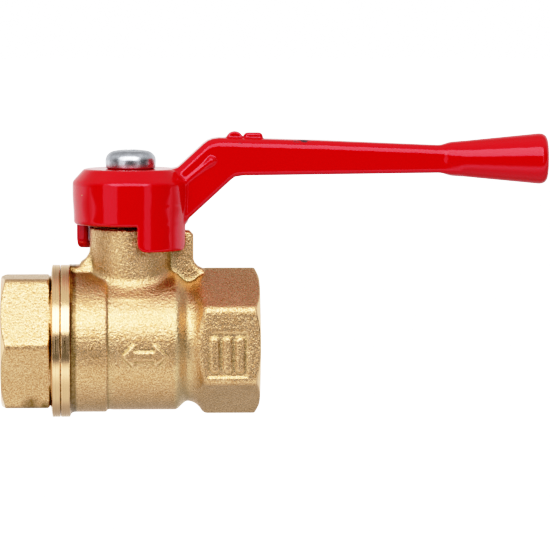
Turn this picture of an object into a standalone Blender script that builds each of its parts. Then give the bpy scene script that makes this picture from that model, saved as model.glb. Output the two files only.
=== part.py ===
"""Two-piece brass ball valve, female both ends, with a cast lever held by one screw.

The origin is where the pipe axis (X) meets the stem axis (Z). The lever lies along +X when the
valve is open and turns clockwise, seen from above, to close it.
"""

import math

import bmesh
import bpy
from mathutils import Matrix, Vector

MM = 0.001
STEPS = 48
GAP = 0.3 * MM

# pipe run, along X
INLET_END = -31.2 * MM
OUTLET_END = 30.8 * MM
HEX_FLATS = 31.0 * MM
HEX_END_FACE_RADIUS = 15.3 * MM
HEX_CHAMFER_TANGENT = math.tan(math.radians(28.0))
THREAD_MINOR_RADIUS = 12.06 * MM
THREAD_DEPTH = 13.4 * MM
PASSAGE_RADIUS = 9.4 * MM

# outside of the body and the connector
INLET_HEX_INNER = -19.6 * MM
RING_RADIUS = 18.3 * MM
RING_LEFT = -19.3 * MM
RING_SEAM = -16.9 * MM
RING_RIGHT = -14.4 * MM
RING_CHAMFER = 0.35 * MM
DRUM_RADIUS = 17.1 * MM
DRUM_STEP = -5.6 * MM
BARREL_RADIUS = 16.6 * MM
BARREL_END = 10.5 * MM
WAIST_RADIUS = 14.5 * MM
WAIST = 14.0 * MM
OUTLET_HEX_INNER = 17.4 * MM

# ball and seats
BALL_RADIUS = 14.0 * MM
PORT_RADIUS = 9.0 * MM
CHAMBER_RADIUS = 14.4 * MM
CHAMBER_LEFT = -8.0 * MM
CHAMBER_RIGHT = 9.0 * MM
SPIGOT_RADIUS = 15.2 * MM
SEAT_OUTER = 12.3 * MM
SEAT_INNER = 9.3 * MM
SEAT_BACK = 12.2 * MM
SEAL_THICKNESS = 0.8 * MM
SEAL_INNER = 13.2 * MM
SLOT_WIDTH = 5.4 * MM
SLOT_FLOOR = 10.6 * MM

# stem and its seals, along Z
STEM_RADIUS = 4.75 * MM
COLLAR_RADIUS = 6.8 * MM
COLLAR_BOTTOM = 14.3 * MM
COLLAR_TOP = 16.0 * MM
COLLAR_POCKET_TOP = 17.4 * MM
TANG_LENGTH = 10.4 * MM
STEM_TOP = 40.9 * MM
STEM_FLATS = 7.2 * MM
STEM_FLATS_BOTTOM = 34.0 * MM
TAPPED_RADIUS = 2.5 * MM
O_RING_HEIGHT = 19.2 * MM
O_RING_SECTION = 1.25 * MM
O_RING_GROOVE_RADIUS = 3.2 * MM
O_RING_GROOVE_WIDTH = 1.9 * MM
PACKING_FLOOR = 21.0 * MM
PACKING_HEIGHT = 1.3 * MM
PACKING_OUTER = 7.2 * MM
GLAND_FLATS = 16.5 * MM
GLAND_TOP = 32.0 * MM

# neck and stops of the body
NECK_RADIUS = 9.8 * MM
NECK_TOP = 27.5 * MM
RIB_THICKNESS = 5.4 * MM
RIB_REACH = 15.0 * MM
RIB_TOP = 26.6 * MM
TONGUE_THICKNESS = 8.4 * MM

# lever
HUB_TOP = 41.4 * MM
HUB_TOP_RADIUS = 11.1 * MM
HUB_RADIUS = 14.0 * MM
SKIRT_RADIUS = 13.7 * MM
SKIRT_INNER = 11.0 * MM
SKIRT_BOTTOM = 28.1 * MM
LUG_BOTTOM = 22.0 * MM
LUG_SPANS = ((-83.5, -16.5), (106.5, 163.0))
WEB_BOTTOM = 34.5 * MM
ARM_HALF_WIDTH = 5.0 * MM
GRIP_ROOT = 75.0 * MM
GRIP_END = 100.2 * MM
GRIP_HEIGHT = 43.6 * MM
GRIP_ROOT_RADIUS = 3.85 * MM
GRIP_END_RADIUS = 6.0 * MM

# screw, M6 pan head
SCREW_RADIUS = 3.0 * MM
SCREW_HEAD_RADIUS = 6.05 * MM
SCREW_HEAD_HEIGHT = 4.6 * MM
SCREW_LENGTH = 12.0 * MM


def new_material(name, colour, roughness, metallic):
    mat = bpy.data.materials.new(name)
    mat.use_nodes = True
    shader = mat.node_tree.nodes["Principled BSDF"]
    shader.inputs["Base Color"].default_value = (*colour, 1.0)
    shader.inputs["Roughness"].default_value = roughness
    shader.inputs["Metallic"].default_value = metallic
    return mat


def add_object(name, bm, mat=None):
    """Give a finished bmesh its own object; without a material it is a cutter or a guide."""
    bmesh.ops.recalc_face_normals(bm, faces=bm.faces)
    mesh = bpy.data.meshes.new(name)
    bm.to_mesh(mesh)
    bm.free()
    obj = bpy.data.objects.new(name, mesh)
    bpy.context.scene.collection.objects.link(obj)
    mesh.shade_smooth()
    mesh.set_sharp_from_angle(angle=math.radians(30.0))
    if mat is None:
        obj.hide_render = True
        obj.display_type = "WIRE"
    else:
        mesh.materials.append(mat)
    return obj


def combine(obj, tool, operation):
    """Join or cut obj with another object through a live Boolean."""
    modifier = obj.modifiers.new(operation.title(), "BOOLEAN")
    modifier.operation = operation
    modifier.solver = "EXACT"
    modifier.object = tool


def turned(profile, axis, offset=0.0):
    """Spin (along, radius) points round X or Z; a profile that ends on the axis stays open there."""
    bm = bmesh.new()
    if axis == "X":
        verts = [bm.verts.new((along, 0.0, radius + offset)) for along, radius in profile]
        centre, direction = (0.0, 0.0, offset), (1.0, 0.0, 0.0)
    else:
        verts = [bm.verts.new((radius, 0.0, along)) for along, radius in profile]
        centre, direction = (0.0, 0.0, 0.0), (0.0, 0.0, 1.0)
    edges = [bm.edges.new(pair) for pair in zip(verts, verts[1:])]
    if profile[0][1] > 0.0 or profile[-1][1] > 0.0:
        edges.append(bm.edges.new((verts[-1], verts[0])))
    bmesh.ops.spin(
        bm, geom=verts + edges, cent=centre, axis=direction, angle=math.tau, steps=STEPS, use_merge=True
    )
    bmesh.ops.remove_doubles(bm, verts=bm.verts, dist=1e-6)
    return bm


def prism(outline, along):
    """Extrude a flat outline of 3-D points by a vector."""
    bm = bmesh.new()
    face = bm.faces.new([bm.verts.new(point) for point in outline])
    grown = bmesh.ops.extrude_face_region(bm, geom=[face])
    moved = [item for item in grown["geom"] if isinstance(item, bmesh.types.BMVert)]
    bmesh.ops.translate(bm, verts=moved, vec=along)
    return bm


def side_plate(outline, half_width):
    """Extrude an outline in the XZ plane evenly to both sides of it."""
    return prism([(x, -half_width, z) for x, z in outline], (0.0, 2.0 * half_width, 0.0))


def block(low, high):
    """Box between two corners."""
    bm = bmesh.new()
    size = Vector(high) - Vector(low)
    centre = (Vector(high) + Vector(low)) / 2.0
    bmesh.ops.create_cube(bm, size=1.0, matrix=Matrix.Translation(centre) @ Matrix.Diagonal((*size, 1.0)))
    return bm


def hexagon(flats, first_corner):
    """Corner points (u, v) of a hexagon by its width across flats."""
    radius = flats / math.sqrt(3.0)
    angles = [math.radians(first_corner + 60.0 * corner) for corner in range(6)]
    return [(radius * math.cos(angle), radius * math.sin(angle)) for angle in angles]


def arc(centre, radius, first, last, points):
    """Points of an arc in the (along, radius) plane, both ends included, by angle in degrees."""
    spread = [math.radians(first + (last - first) * step / (points - 1)) for step in range(points)]
    return [(centre[0] + radius * math.cos(a), centre[1] + radius * math.sin(a)) for a in spread]


def pipe_hex(name, low, high, first_corner, mat, inner_chamfer):
    """Wrench hexagon across the pipe axis, with its corners turned off at the two ends."""
    corners = [(low, u, v) for u, v in hexagon(HEX_FLATS, first_corner)]
    obj = add_object(name, prism(corners, (high - low, 0.0, 0.0)), mat)
    reach = 20.0 * MM
    depth = (reach - HEX_END_FACE_RADIUS) * HEX_CHAMFER_TANGENT
    trim = inner_chamfer * HEX_CHAMFER_TANGENT
    left, right = (depth, trim) if high < 0.0 else (trim, depth)
    left_radius = reach - left / HEX_CHAMFER_TANGENT
    right_radius = reach - right / HEX_CHAMFER_TANGENT
    margin = 0.01 * MM
    chamfer = [
        (low - margin, 0.0),
        (low - margin, left_radius),
        (low - margin + left, reach),
        (high + margin - right, reach),
        (high + margin, right_radius),
        (high + margin, 0.0),
    ]
    combine(obj, add_object(name + "_turning", turned(chamfer, "X")), "INTERSECT")
    return obj


def valve_body(mat):
    """Forging with the ball chamber, the outlet socket, the neck and the two stops."""
    seam = RING_SEAM + GAP / 2.0
    shoulder = RING_RIGHT + 1.2 * MM
    outline = [
        (seam, 0.0),
        (seam, RING_RADIUS - RING_CHAMFER),
        (seam + RING_CHAMFER, RING_RADIUS),
        (RING_RIGHT - RING_CHAMFER, RING_RADIUS),
        (RING_RIGHT, RING_RADIUS - RING_CHAMFER),
        (shoulder, DRUM_RADIUS),
        (DRUM_STEP, DRUM_RADIUS),
        (DRUM_STEP + 0.5 * MM, BARREL_RADIUS),
        (BARREL_END, BARREL_RADIUS),
        (BARREL_END + 1.6 * MM, BARREL_RADIUS - 0.6 * MM),
        (WAIST - 0.6 * MM, WAIST_RADIUS + 0.3 * MM),
        (WAIST, WAIST_RADIUS),
        (OUTLET_END - 3.0 * MM, WAIST_RADIUS),
        (OUTLET_END - 3.0 * MM, 0.0),
    ]
    obj = add_object("valve_body", turned(outline, "X"), mat)
    outlet_hex = pipe_hex("body_outlet_hex", OUTLET_HEX_INNER, OUTLET_END, 90.0, None, 2.0 * MM)
    combine(obj, outlet_hex, "UNION")

    flare = [
        (2.0 * MM, 0.0),
        (2.0 * MM, 13.4 * MM),
        (10.5 * MM, 13.4 * MM),
        (12.6 * MM, 12.6 * MM),
        (14.8 * MM, 11.3 * MM),
        (17.6 * MM, 10.3 * MM),
        (21.0 * MM, NECK_RADIUS),
        (NECK_TOP - 0.5 * MM, NECK_RADIUS),
        (NECK_TOP, NECK_RADIUS - 0.5 * MM),
        (NECK_TOP, 0.0),
    ]
    combine(obj, add_object("body_neck", turned(flare, "Z")), "UNION")

    stop_rib = [
        (8.5 * MM, 10.0 * MM),
        (8.5 * MM, RIB_TOP),
        (RIB_REACH - 1.2 * MM, RIB_TOP),
        (RIB_REACH - 0.3 * MM, RIB_TOP - 0.4 * MM),
        (RIB_REACH, RIB_TOP - 1.3 * MM),
        (RIB_REACH, 19.7 * MM),
        (RIB_REACH + 0.4 * MM, 18.7 * MM),
        (RIB_REACH + 1.2 * MM, 17.9 * MM),
        (RIB_REACH + 2.6 * MM, 17.3 * MM),
        (RIB_REACH + 2.9 * MM, 15.0 * MM),
        (RIB_REACH + 2.9 * MM, 10.0 * MM),
    ]
    combine(obj, add_object("body_stop_rib", side_plate(stop_rib, RIB_THICKNESS / 2.0)), "UNION")
    inlet_tongue = [
        (-8.6 * MM, 10.0 * MM),
        (-13.7 * MM, 10.0 * MM),
        (-13.7 * MM, 18.1 * MM),
        (-12.2 * MM, 18.3 * MM),
        (-12.0 * MM, 19.0 * MM),
        (-10.8 * MM, 19.9 * MM),
        (-10.0 * MM, 21.2 * MM),
        (-9.6 * MM, 22.8 * MM),
        (-8.6 * MM, 23.6 * MM),
    ]
    tongue = side_plate(inlet_tongue, TONGUE_THICKNESS / 2.0)
    combine(obj, add_object("body_inlet_tongue", tongue), "UNION")

    bore = [
        (RING_SEAM - 2.0 * MM, 0.0),
        (RING_SEAM - 2.0 * MM, SPIGOT_RADIUS + GAP),
        (CHAMBER_LEFT, SPIGOT_RADIUS + GAP),
        (CHAMBER_LEFT, CHAMBER_RADIUS),
        (CHAMBER_RIGHT, CHAMBER_RADIUS),
        (CHAMBER_RIGHT, SEAT_OUTER + GAP),
        (SEAT_BACK + GAP, SEAT_OUTER + GAP),
        (SEAT_BACK + GAP, PASSAGE_RADIUS),
        (OUTLET_END - THREAD_DEPTH - 1.5 * MM, PASSAGE_RADIUS),
        (OUTLET_END - THREAD_DEPTH, THREAD_MINOR_RADIUS),
        (OUTLET_END - 1.2 * MM, THREAD_MINOR_RADIUS),
        (OUTLET_END + 1.0 * MM, THREAD_MINOR_RADIUS + 2.2 * MM),
        (OUTLET_END + 1.0 * MM, 0.0),
    ]
    combine(obj, add_object("cut_body_bore", turned(bore, "X")), "DIFFERENCE")

    stem_bore = [
        (1.0 * MM, 0.0),
        (1.0 * MM, COLLAR_RADIUS + GAP),
        (COLLAR_POCKET_TOP, COLLAR_RADIUS + GAP),
        (COLLAR_POCKET_TOP, STEM_RADIUS + GAP),
        (PACKING_FLOOR, STEM_RADIUS + GAP),
        (PACKING_FLOOR, PACKING_OUTER + GAP),
        (NECK_TOP + 1.0 * MM, PACKING_OUTER + GAP),
        (NECK_TOP + 1.0 * MM, 0.0),
    ]
    combine(obj, add_object("cut_stem_bore", turned(stem_bore, "Z")), "DIFFERENCE")
    return obj


def end_connector(mat):
    """Hexagon piece that screws into the inlet side of the body and holds the inlet seat."""
    seam = RING_SEAM - GAP / 2.0
    spigot_end = CHAMBER_LEFT - SEAL_THICKNESS - 2.0 * GAP
    outline = [
        (INLET_END + 3.0 * MM, 0.0),
        (INLET_END + 3.0 * MM, HEX_END_FACE_RADIUS),
        (RING_LEFT, HEX_END_FACE_RADIUS),
        (RING_LEFT, RING_RADIUS - 2.3 * MM),
        (RING_LEFT + 0.65 * MM, RING_RADIUS),
        (seam - RING_CHAMFER, RING_RADIUS),
        (seam, RING_RADIUS - RING_CHAMFER),
        (seam, SPIGOT_RADIUS),
        (spigot_end - 0.5 * MM, SPIGOT_RADIUS),
        (spigot_end, SPIGOT_RADIUS - 0.5 * MM),
        (spigot_end, 0.0),
    ]
    obj = add_object("end_connector", turned(outline, "X"), mat)
    inlet_hex = pipe_hex("connector_hex", INLET_END, INLET_HEX_INNER, 0.0, None, 3.4 * MM)
    combine(obj, inlet_hex, "UNION")
    bore = [
        (INLET_END - 1.0 * MM, 0.0),
        (INLET_END - 1.0 * MM, THREAD_MINOR_RADIUS + 2.2 * MM),
        (INLET_END + 1.2 * MM, THREAD_MINOR_RADIUS),
        (INLET_END + THREAD_DEPTH, THREAD_MINOR_RADIUS),
        (INLET_END + THREAD_DEPTH + 1.5 * MM, PASSAGE_RADIUS),
        (-SEAT_BACK - GAP, PASSAGE_RADIUS),
        (-SEAT_BACK - GAP, SEAT_OUTER + GAP),
        (spigot_end + 1.0 * MM, SEAT_OUTER + GAP),
        (spigot_end + 1.0 * MM, 0.0),
    ]
    combine(obj, add_object("cut_connector_bore", turned(bore, "X")), "DIFFERENCE")
    return obj


def body_seal(mat):
    """Flat ring squeezed between the connector's spigot and the step in the body."""
    left = CHAMBER_LEFT - GAP - SEAL_THICKNESS
    right = CHAMBER_LEFT - GAP
    profile = [(left, SEAL_INNER), (right, SEAL_INNER), (right, SPIGOT_RADIUS), (left, SPIGOT_RADIUS)]
    return add_object("body_seal_ring", turned(profile, "X"), mat)


def ball(mat):
    """Sphere with its port along X and the slot that the stem's tang turns it by."""
    half_angle = math.degrees(math.asin(PORT_RADIUS / BALL_RADIUS))
    profile = arc((0.0, 0.0), BALL_RADIUS, half_angle, 180.0 - half_angle, 17)
    obj = add_object("ball", turned(profile, "X"), mat)
    slot = block(
        (-SLOT_WIDTH / 2.0, -BALL_RADIUS, SLOT_FLOOR), (SLOT_WIDTH / 2.0, BALL_RADIUS, BALL_RADIUS + MM)
    )
    combine(obj, add_object("cut_ball_slot", slot), "DIFFERENCE")
    return obj


def seat(name, side, mat):
    """Ring with a hollow face that follows the ball; side is +1 at the outlet, -1 at the inlet."""
    reach = BALL_RADIUS + GAP
    inner = math.degrees(math.asin(SEAT_INNER / reach))
    outer = math.degrees(math.asin((SEAT_OUTER - 0.8 * MM) / reach))
    face = arc((0.0, 0.0), reach, inner, outer, 5)
    profile = face + [(face[-1][0], SEAT_OUTER), (SEAT_BACK, SEAT_OUTER), (SEAT_BACK, SEAT_INNER)]
    return add_object(name, turned([(side * along, radius) for along, radius in profile], "X"), mat)


def stem(mat):
    """Blow-out proof stem: tang, collar, O-ring groove, shank with two flats, tapped top."""
    groove_low = O_RING_HEIGHT - O_RING_GROOVE_WIDTH / 2.0
    groove_high = O_RING_HEIGHT + O_RING_GROOVE_WIDTH / 2.0
    profile = [
        (COLLAR_BOTTOM, 0.0),
        (COLLAR_BOTTOM, COLLAR_RADIUS),
        (COLLAR_TOP, COLLAR_RADIUS),
        (COLLAR_TOP, STEM_RADIUS),
        (groove_low, STEM_RADIUS),
        (groove_low, O_RING_GROOVE_RADIUS),
        (groove_high, O_RING_GROOVE_RADIUS),
        (groove_high, STEM_RADIUS),
        (STEM_TOP, STEM_RADIUS),
        (STEM_TOP, 0.0),
    ]
    obj = add_object("stem", turned(profile, "Z"), mat)
    tang_half = SLOT_WIDTH / 2.0 - 0.4 * MM
    tang = block(
        (-tang_half, -TANG_LENGTH / 2.0, SLOT_FLOOR + GAP), (tang_half, TANG_LENGTH / 2.0, COLLAR_TOP - 0.4 * MM)
    )
    combine(obj, add_object("stem_tang", tang), "UNION")
    for side in (-1.0, 1.0):
        near = side * STEM_FLATS / 2.0
        far = side * (STEM_RADIUS + MM)
        low = (-STEM_RADIUS - MM, min(near, far), STEM_FLATS_BOTTOM)
        high = (STEM_RADIUS + MM, max(near, far), STEM_TOP + MM)
        combine(obj, add_object(f"cut_stem_flat_{int(side + 2)}", block(low, high)), "DIFFERENCE")
    hole_depth = SCREW_LENGTH + 1.5 * MM
    hole = [
        (STEM_TOP - hole_depth, 0.0),
        (STEM_TOP - hole_depth + MM, TAPPED_RADIUS + 0.8 * MM),
        (STEM_TOP + MM, TAPPED_RADIUS + 0.8 * MM),
        (STEM_TOP + MM, 0.0),
    ]
    combine(obj, add_object("cut_stem_hole", turned(hole, "Z")), "DIFFERENCE")
    return obj


def flat_ring(name, low, high, inner, outer, mat):
    """Plain washer or packing ring round the stem axis."""
    profile = [(low, inner), (low, outer), (high, outer), (high, inner)]
    return add_object(name, turned(profile, "Z"), mat)


def stem_o_ring(mat):
    """Rubber ring in the stem's groove."""
    half = O_RING_SECTION / 2.0
    centre = (O_RING_HEIGHT, O_RING_GROOVE_RADIUS + GAP + half)
    return add_object("stem_o_ring", turned(arc(centre, half, 0.0, 330.0, 12), "Z"), mat)


def gland_nut(mat):
    """Nut with a male thread that presses the packing down round the stem."""
    thread_bottom = PACKING_FLOOR + 2.0 * PACKING_HEIGHT + 3.0 * GAP
    head_bottom = NECK_TOP + GAP
    corners = [(u, v, head_bottom) for u, v in hexagon(GLAND_FLATS, 0.0)]
    obj = add_object("gland_nut", prism(corners, (0.0, 0.0, GLAND_TOP - head_bottom)), mat)
    crown = [
        (head_bottom - MM, 0.0),
        (head_bottom - MM, 12.0 * MM),
        (GLAND_TOP - 2.0 * MM, 12.0 * MM),
        (GLAND_TOP + 0.01 * MM, 8.3 * MM),
        (GLAND_TOP + 0.01 * MM, 0.0),
    ]
    combine(obj, add_object("gland_nut_turning", turned(crown, "Z")), "INTERSECT")
    thread = [
        (thread_bottom, 0.0),
        (thread_bottom, PACKING_OUTER),
        (head_bottom + MM, PACKING_OUTER),
        (head_bottom + MM, 0.0),
    ]
    combine(obj, add_object("gland_nut_thread", turned(thread, "Z")), "UNION")
    hole = [
        (thread_bottom - MM, 0.0),
        (thread_bottom - MM, STEM_RADIUS + GAP),
        (GLAND_TOP + MM, STEM_RADIUS + GAP),
        (GLAND_TOP + MM, 0.0),
    ]
    combine(obj, add_object("cut_gland_nut_hole", turned(hole, "Z")), "DIFFERENCE")
    return obj


def sector(low, high, first, last, reach):
    """Pie-shaped prism round the stem axis, used to cut the skirt away between its lugs."""
    steps = 12
    angles = [math.radians(first + (last - first) * step / steps) for step in range(steps + 1)]
    rim = [(reach * math.cos(a), reach * math.sin(a), low) for a in angles]
    return prism([(0.0, 0.0, low)] + rim, (0.0, 0.0, high - low))


def lever_arm():
    """Bar that rises from the hub and runs level to the grip, narrowing on the way."""
    outline = [
        (11.6 * MM, SKIRT_BOTTOM + 0.1 * MM),
        (13.6 * MM, SKIRT_BOTTOM + 0.1 * MM),
        (24.2 * MM, 39.9 * MM),
        (25.6 * MM, 40.4 * MM),
        (GRIP_ROOT + MM, 40.9 * MM),
        (GRIP_ROOT + MM, 46.4 * MM),
        (45.0 * MM, 47.7 * MM),
        (20.2 * MM, 48.4 * MM),
        (18.4 * MM, 47.8 * MM),
        (11.6 * MM, 41.0 * MM),
    ]
    bm = side_plate(outline, ARM_HALF_WIDTH)
    for vert in bm.verts:
        fraction = max(0.0, vert.co.x - 20.0 * MM) / (GRIP_ROOT - 20.0 * MM)
        vert.co.y *= 1.0 - 0.34 * fraction
    edges = [e for e in bm.edges if abs(e.verts[0].co.y + e.verts[1].co.y) > ARM_HALF_WIDTH / 2.0]
    bmesh.ops.bevel(bm, geom=edges, offset=0.8 * MM, segments=2, profile=0.5, affect="EDGES")
    return bm


def lever_handle(mat):
    """One casting: hub with its skirt and two stop lugs, arm, and cone-shaped grip."""
    hub = [
        (WEB_BOTTOM, 0.0),
        (WEB_BOTTOM, SKIRT_INNER),
        (LUG_BOTTOM, SKIRT_INNER),
        (LUG_BOTTOM, SKIRT_RADIUS),
        (HUB_TOP - 3.0 * MM, HUB_RADIUS),
        (HUB_TOP - 0.4 * MM, HUB_TOP_RADIUS + 0.5 * MM),
        (HUB_TOP, HUB_TOP_RADIUS),
        (HUB_TOP, 0.0),
    ]
    obj = add_object("lever_handle", turned(hub, "Z"), mat)
    combine(obj, add_object("lever_arm", lever_arm()), "UNION")
    grip = [
        (GRIP_ROOT - 1.5 * MM, 0.0),
        (GRIP_ROOT - 1.5 * MM, GRIP_ROOT_RADIUS - 0.8 * MM),
        (GRIP_ROOT, GRIP_ROOT_RADIUS),
        (GRIP_END - 2.2 * MM, GRIP_END_RADIUS),
        (GRIP_END - 0.8 * MM, GRIP_END_RADIUS - 0.2 * MM),
        (GRIP_END, GRIP_END_RADIUS - 1.2 * MM),
        (GRIP_END, 0.0),
    ]
    combine(obj, add_object("lever_grip", turned(grip, "X", GRIP_HEIGHT)), "UNION")
    (first_low, first_high), (second_low, second_high) = LUG_SPANS
    gaps = ((first_high, second_low), (second_high, first_low + 360.0))
    for number, (low_angle, high_angle) in enumerate(gaps, start=1):
        gap = sector(LUG_BOTTOM - MM, SKIRT_BOTTOM, low_angle, high_angle, 24.0 * MM)
        combine(obj, add_object(f"cut_skirt_gap_{number}", gap), "DIFFERENCE")
    half = STEM_FLATS / 2.0 + GAP
    hole = turned([(WEB_BOTTOM - MM, 0.0), (WEB_BOTTOM - MM, STEM_RADIUS + GAP),
                   (HUB_TOP + MM, STEM_RADIUS + GAP), (HUB_TOP + MM, 0.0)], "Z")
    hole_object = add_object("cut_lever_hole", hole)
    flats = block((-8.0 * MM, -half, WEB_BOTTOM - 2.0 * MM), (8.0 * MM, half, HUB_TOP + 2.0 * MM))
    combine(hole_object, add_object("cut_lever_hole_flats", flats), "INTERSECT")
    combine(obj, hole_object, "DIFFERENCE")
    return obj


def handle_screw(mat):
    """M6 pan head screw with a cross recess, seated on the hub."""
    seat_height = HUB_TOP + GAP
    top = seat_height + SCREW_HEAD_HEIGHT
    profile = [
        (seat_height - SCREW_LENGTH, 0.0),
        (seat_height - SCREW_LENGTH, SCREW_RADIUS - 0.6 * MM),
        (seat_height - SCREW_LENGTH + 0.6 * MM, SCREW_RADIUS),
        (seat_height, SCREW_RADIUS),
        (seat_height, SCREW_HEAD_RADIUS - 0.35 * MM),
        (seat_height + 0.7 * MM, SCREW_HEAD_RADIUS - 0.05 * MM),
        (seat_height + 1.9 * MM, SCREW_HEAD_RADIUS),
        (seat_height + 3.1 * MM, SCREW_HEAD_RADIUS - 0.5 * MM),
        (top - 0.6 * MM, SCREW_HEAD_RADIUS - 1.6 * MM),
        (top - 0.1 * MM, 2.6 * MM),
        (top, 0.0),
    ]
    obj = add_object("handle_screw", turned(profile, "Z"), mat)
    for number in range(2):
        blade = [
            (-2.9 * MM, top + MM),
            (-2.9 * MM, top - 0.5 * MM),
            (-1.0 * MM, top - 2.6 * MM),
            (1.0 * MM, top - 2.6 * MM),
            (2.9 * MM, top - 0.5 * MM),
            (2.9 * MM, top + MM),
        ]
        bm = side_plate(blade, (0.5 + 0.01 * number) * MM)
        bmesh.ops.rotate(bm, verts=bm.verts, matrix=Matrix.Rotation(math.radians(90.0 * number), 3, "Z"))
        combine(obj, add_object(f"cut_screw_recess_{number + 1}", bm), "DIFFERENCE")
    return obj


def main():
    for obj in list(bpy.data.objects):
        bpy.data.objects.remove(obj, do_unlink=True)

    forged = new_material("forged_brass", (0.60, 0.43, 0.22), 0.45, 1.0)
    connector_brass = new_material("forged_brass_connector", (0.60, 0.43, 0.22), 0.42, 1.0)
    turned_brass = new_material("turned_brass_stem", (0.68, 0.50, 0.25), 0.25, 1.0)
    nut_brass = new_material("turned_brass_nut", (0.66, 0.48, 0.24), 0.3, 1.0)
    chromed = new_material("chromed_ball", (0.75, 0.76, 0.78), 0.08, 1.0)
    seat_plastic = new_material("ptfe_seat", (0.86, 0.86, 0.83), 0.5, 0.0)
    packing_plastic = new_material("ptfe_packing", (0.84, 0.84, 0.80), 0.5, 0.0)
    rubber = new_material("black_rubber", (0.02, 0.02, 0.02), 0.7, 0.0)
    red_paint = new_material("red_paint", (0.62, 0.005, 0.01), 0.25, 0.0)
    zinc = new_material("zinc_plate", (0.55, 0.56, 0.58), 0.3, 1.0)

    valve_body(forged)
    end_connector(connector_brass)
    body_seal(packing_plastic)
    ball_object = ball(chromed)
    seat("inlet_seat", -1.0, seat_plastic)
    seat("outlet_seat", 1.0, seat_plastic)
    washer_low = COLLAR_TOP + GAP
    packing_low = PACKING_FLOOR + GAP
    packing_high = packing_low + PACKING_HEIGHT + GAP
    inner = STEM_RADIUS + GAP
    for name, low in (("packing_ring_lower", packing_low), ("packing_ring_upper", packing_high)):
        flat_ring(name, low, low + PACKING_HEIGHT, inner, PACKING_OUTER, packing_plastic)
    gland_nut(nut_brass)

    turning = [
        stem(turned_brass),
        flat_ring("stem_thrust_washer", washer_low, washer_low + 0.8 * MM, inner, COLLAR_RADIUS, seat_plastic),
        stem_o_ring(rubber),
        lever_handle(red_paint),
        handle_screw(zinc),
    ]
    for name, pieces in (("handle_axis", turning), ("ball_axis", [ball_object])):
        axis = bpy.data.objects.new(name, None)
        bpy.context.scene.collection.objects.link(axis)
        for piece in pieces:
            piece.parent = axis


main()
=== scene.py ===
"""Looks of the lever ball valve: forged brass, turned brass, red enamel and zinc."""

import math

import bpy
import numpy as np
from bpy.props import FloatProperty, FloatVectorProperty, PointerProperty
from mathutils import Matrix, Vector


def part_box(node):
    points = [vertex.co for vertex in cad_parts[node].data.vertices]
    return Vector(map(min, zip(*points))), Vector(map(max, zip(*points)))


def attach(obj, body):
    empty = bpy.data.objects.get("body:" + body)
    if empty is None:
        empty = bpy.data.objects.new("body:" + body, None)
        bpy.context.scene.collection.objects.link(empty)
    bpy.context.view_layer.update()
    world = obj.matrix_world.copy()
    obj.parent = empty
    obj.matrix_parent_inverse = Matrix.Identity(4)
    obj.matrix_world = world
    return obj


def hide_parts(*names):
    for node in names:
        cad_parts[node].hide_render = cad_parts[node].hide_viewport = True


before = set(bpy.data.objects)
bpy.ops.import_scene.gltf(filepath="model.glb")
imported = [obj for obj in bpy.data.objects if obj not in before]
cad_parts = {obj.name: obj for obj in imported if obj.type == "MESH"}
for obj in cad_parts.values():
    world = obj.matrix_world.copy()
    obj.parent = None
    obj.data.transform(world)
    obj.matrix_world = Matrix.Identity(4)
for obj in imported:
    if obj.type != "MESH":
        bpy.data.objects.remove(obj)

bl_info = {
    "name": "Lever Ball Valve",
    "version": (1, 0, 0),
    "blender": (4, 5, 0),
    "location": "View3D > Sidebar > Valve",
    "description": "Builds the visible pieces, materials and stage of a brass ball valve",
    "category": "Object",
}

MM = 0.001

_, BODY_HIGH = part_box("valve_body")
CONNECTOR_LOW, CONNECTOR_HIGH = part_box("end_connector")
LEVER_LOW, LEVER_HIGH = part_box("lever_handle")
NUT_LOW, NUT_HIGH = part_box("gland_nut")
SCREW_LOW, SCREW_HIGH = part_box("handle_screw")

# pipe run
OUTLET_END = BODY_HIGH.x
INLET_END = CONNECTOR_LOW.x
RING_RADIUS = BODY_HIGH.y
RING_LEFT = -19.3 * MM
RING_SEAM = -16.9 * MM
RING_RIGHT = -14.6 * MM
SEAM_GAP = 0.1 * MM
DRUM_RADIUS = 17.1 * MM
DRUM_STEP = -5.8 * MM
PARTING_DEPTH = 0.09 * MM
PARTING_WIDTH = 0.55 * MM
BARREL_RADIUS = 16.6 * MM
BARREL_END = 18.0 * MM
WAIST_RADIUS = 14.5 * MM
WAIST_START = 10.4 * MM
WAIST_FULL = 13.6 * MM
HEX_HALF_FLATS = 15.5 * MM
HEX_EDGE = 1.2 * MM
HEX_FACE_RADIUS = 15.3 * MM
CHAMFER_ANGLE = math.radians(28.0)
OUTLET_HEX_INNER = 16.4 * MM
INLET_HEX_INNER = -19.47 * MM
GROOVE_RADIUS = 15.3 * MM
LEAD_START = 0.45 * MM

# waterway
THREAD_MINOR = 12.06 * MM
THREAD_HEIGHT = 1.16 * MM
THREAD_PITCH = 1.814 * MM
THREAD_DEPTH = 13.4 * MM
THREAD_RUN_OUT = 1.4 * MM
PASSAGE_RADIUS = 9.4 * MM
PASSAGE_START = 4.0 * MM
BALL_RADIUS = 14.0 * MM
PORT_RADIUS = 9.0 * MM
TANG_SLOT_HALF = 2.7 * MM
TANG_SLOT_FLOOR = 10.6 * MM
CHAMBER_RADIUS = 14.4 * MM
CHAMBER_LEFT = -8.0 * MM
CHAMBER_RIGHT = 9.0 * MM
SPIGOT_RADIUS = 15.2 * MM
SPIGOT_BORE = 15.5 * MM
SEAT_POCKET = 12.6 * MM
SEAT_SLACK = 0.1 * MM
SEAT_BACK = 12.2 * MM
SEAT_OUTER = 12.3 * MM
SEAT_INNER = 9.3 * MM
BALL_GAP = 0.15 * MM

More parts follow.
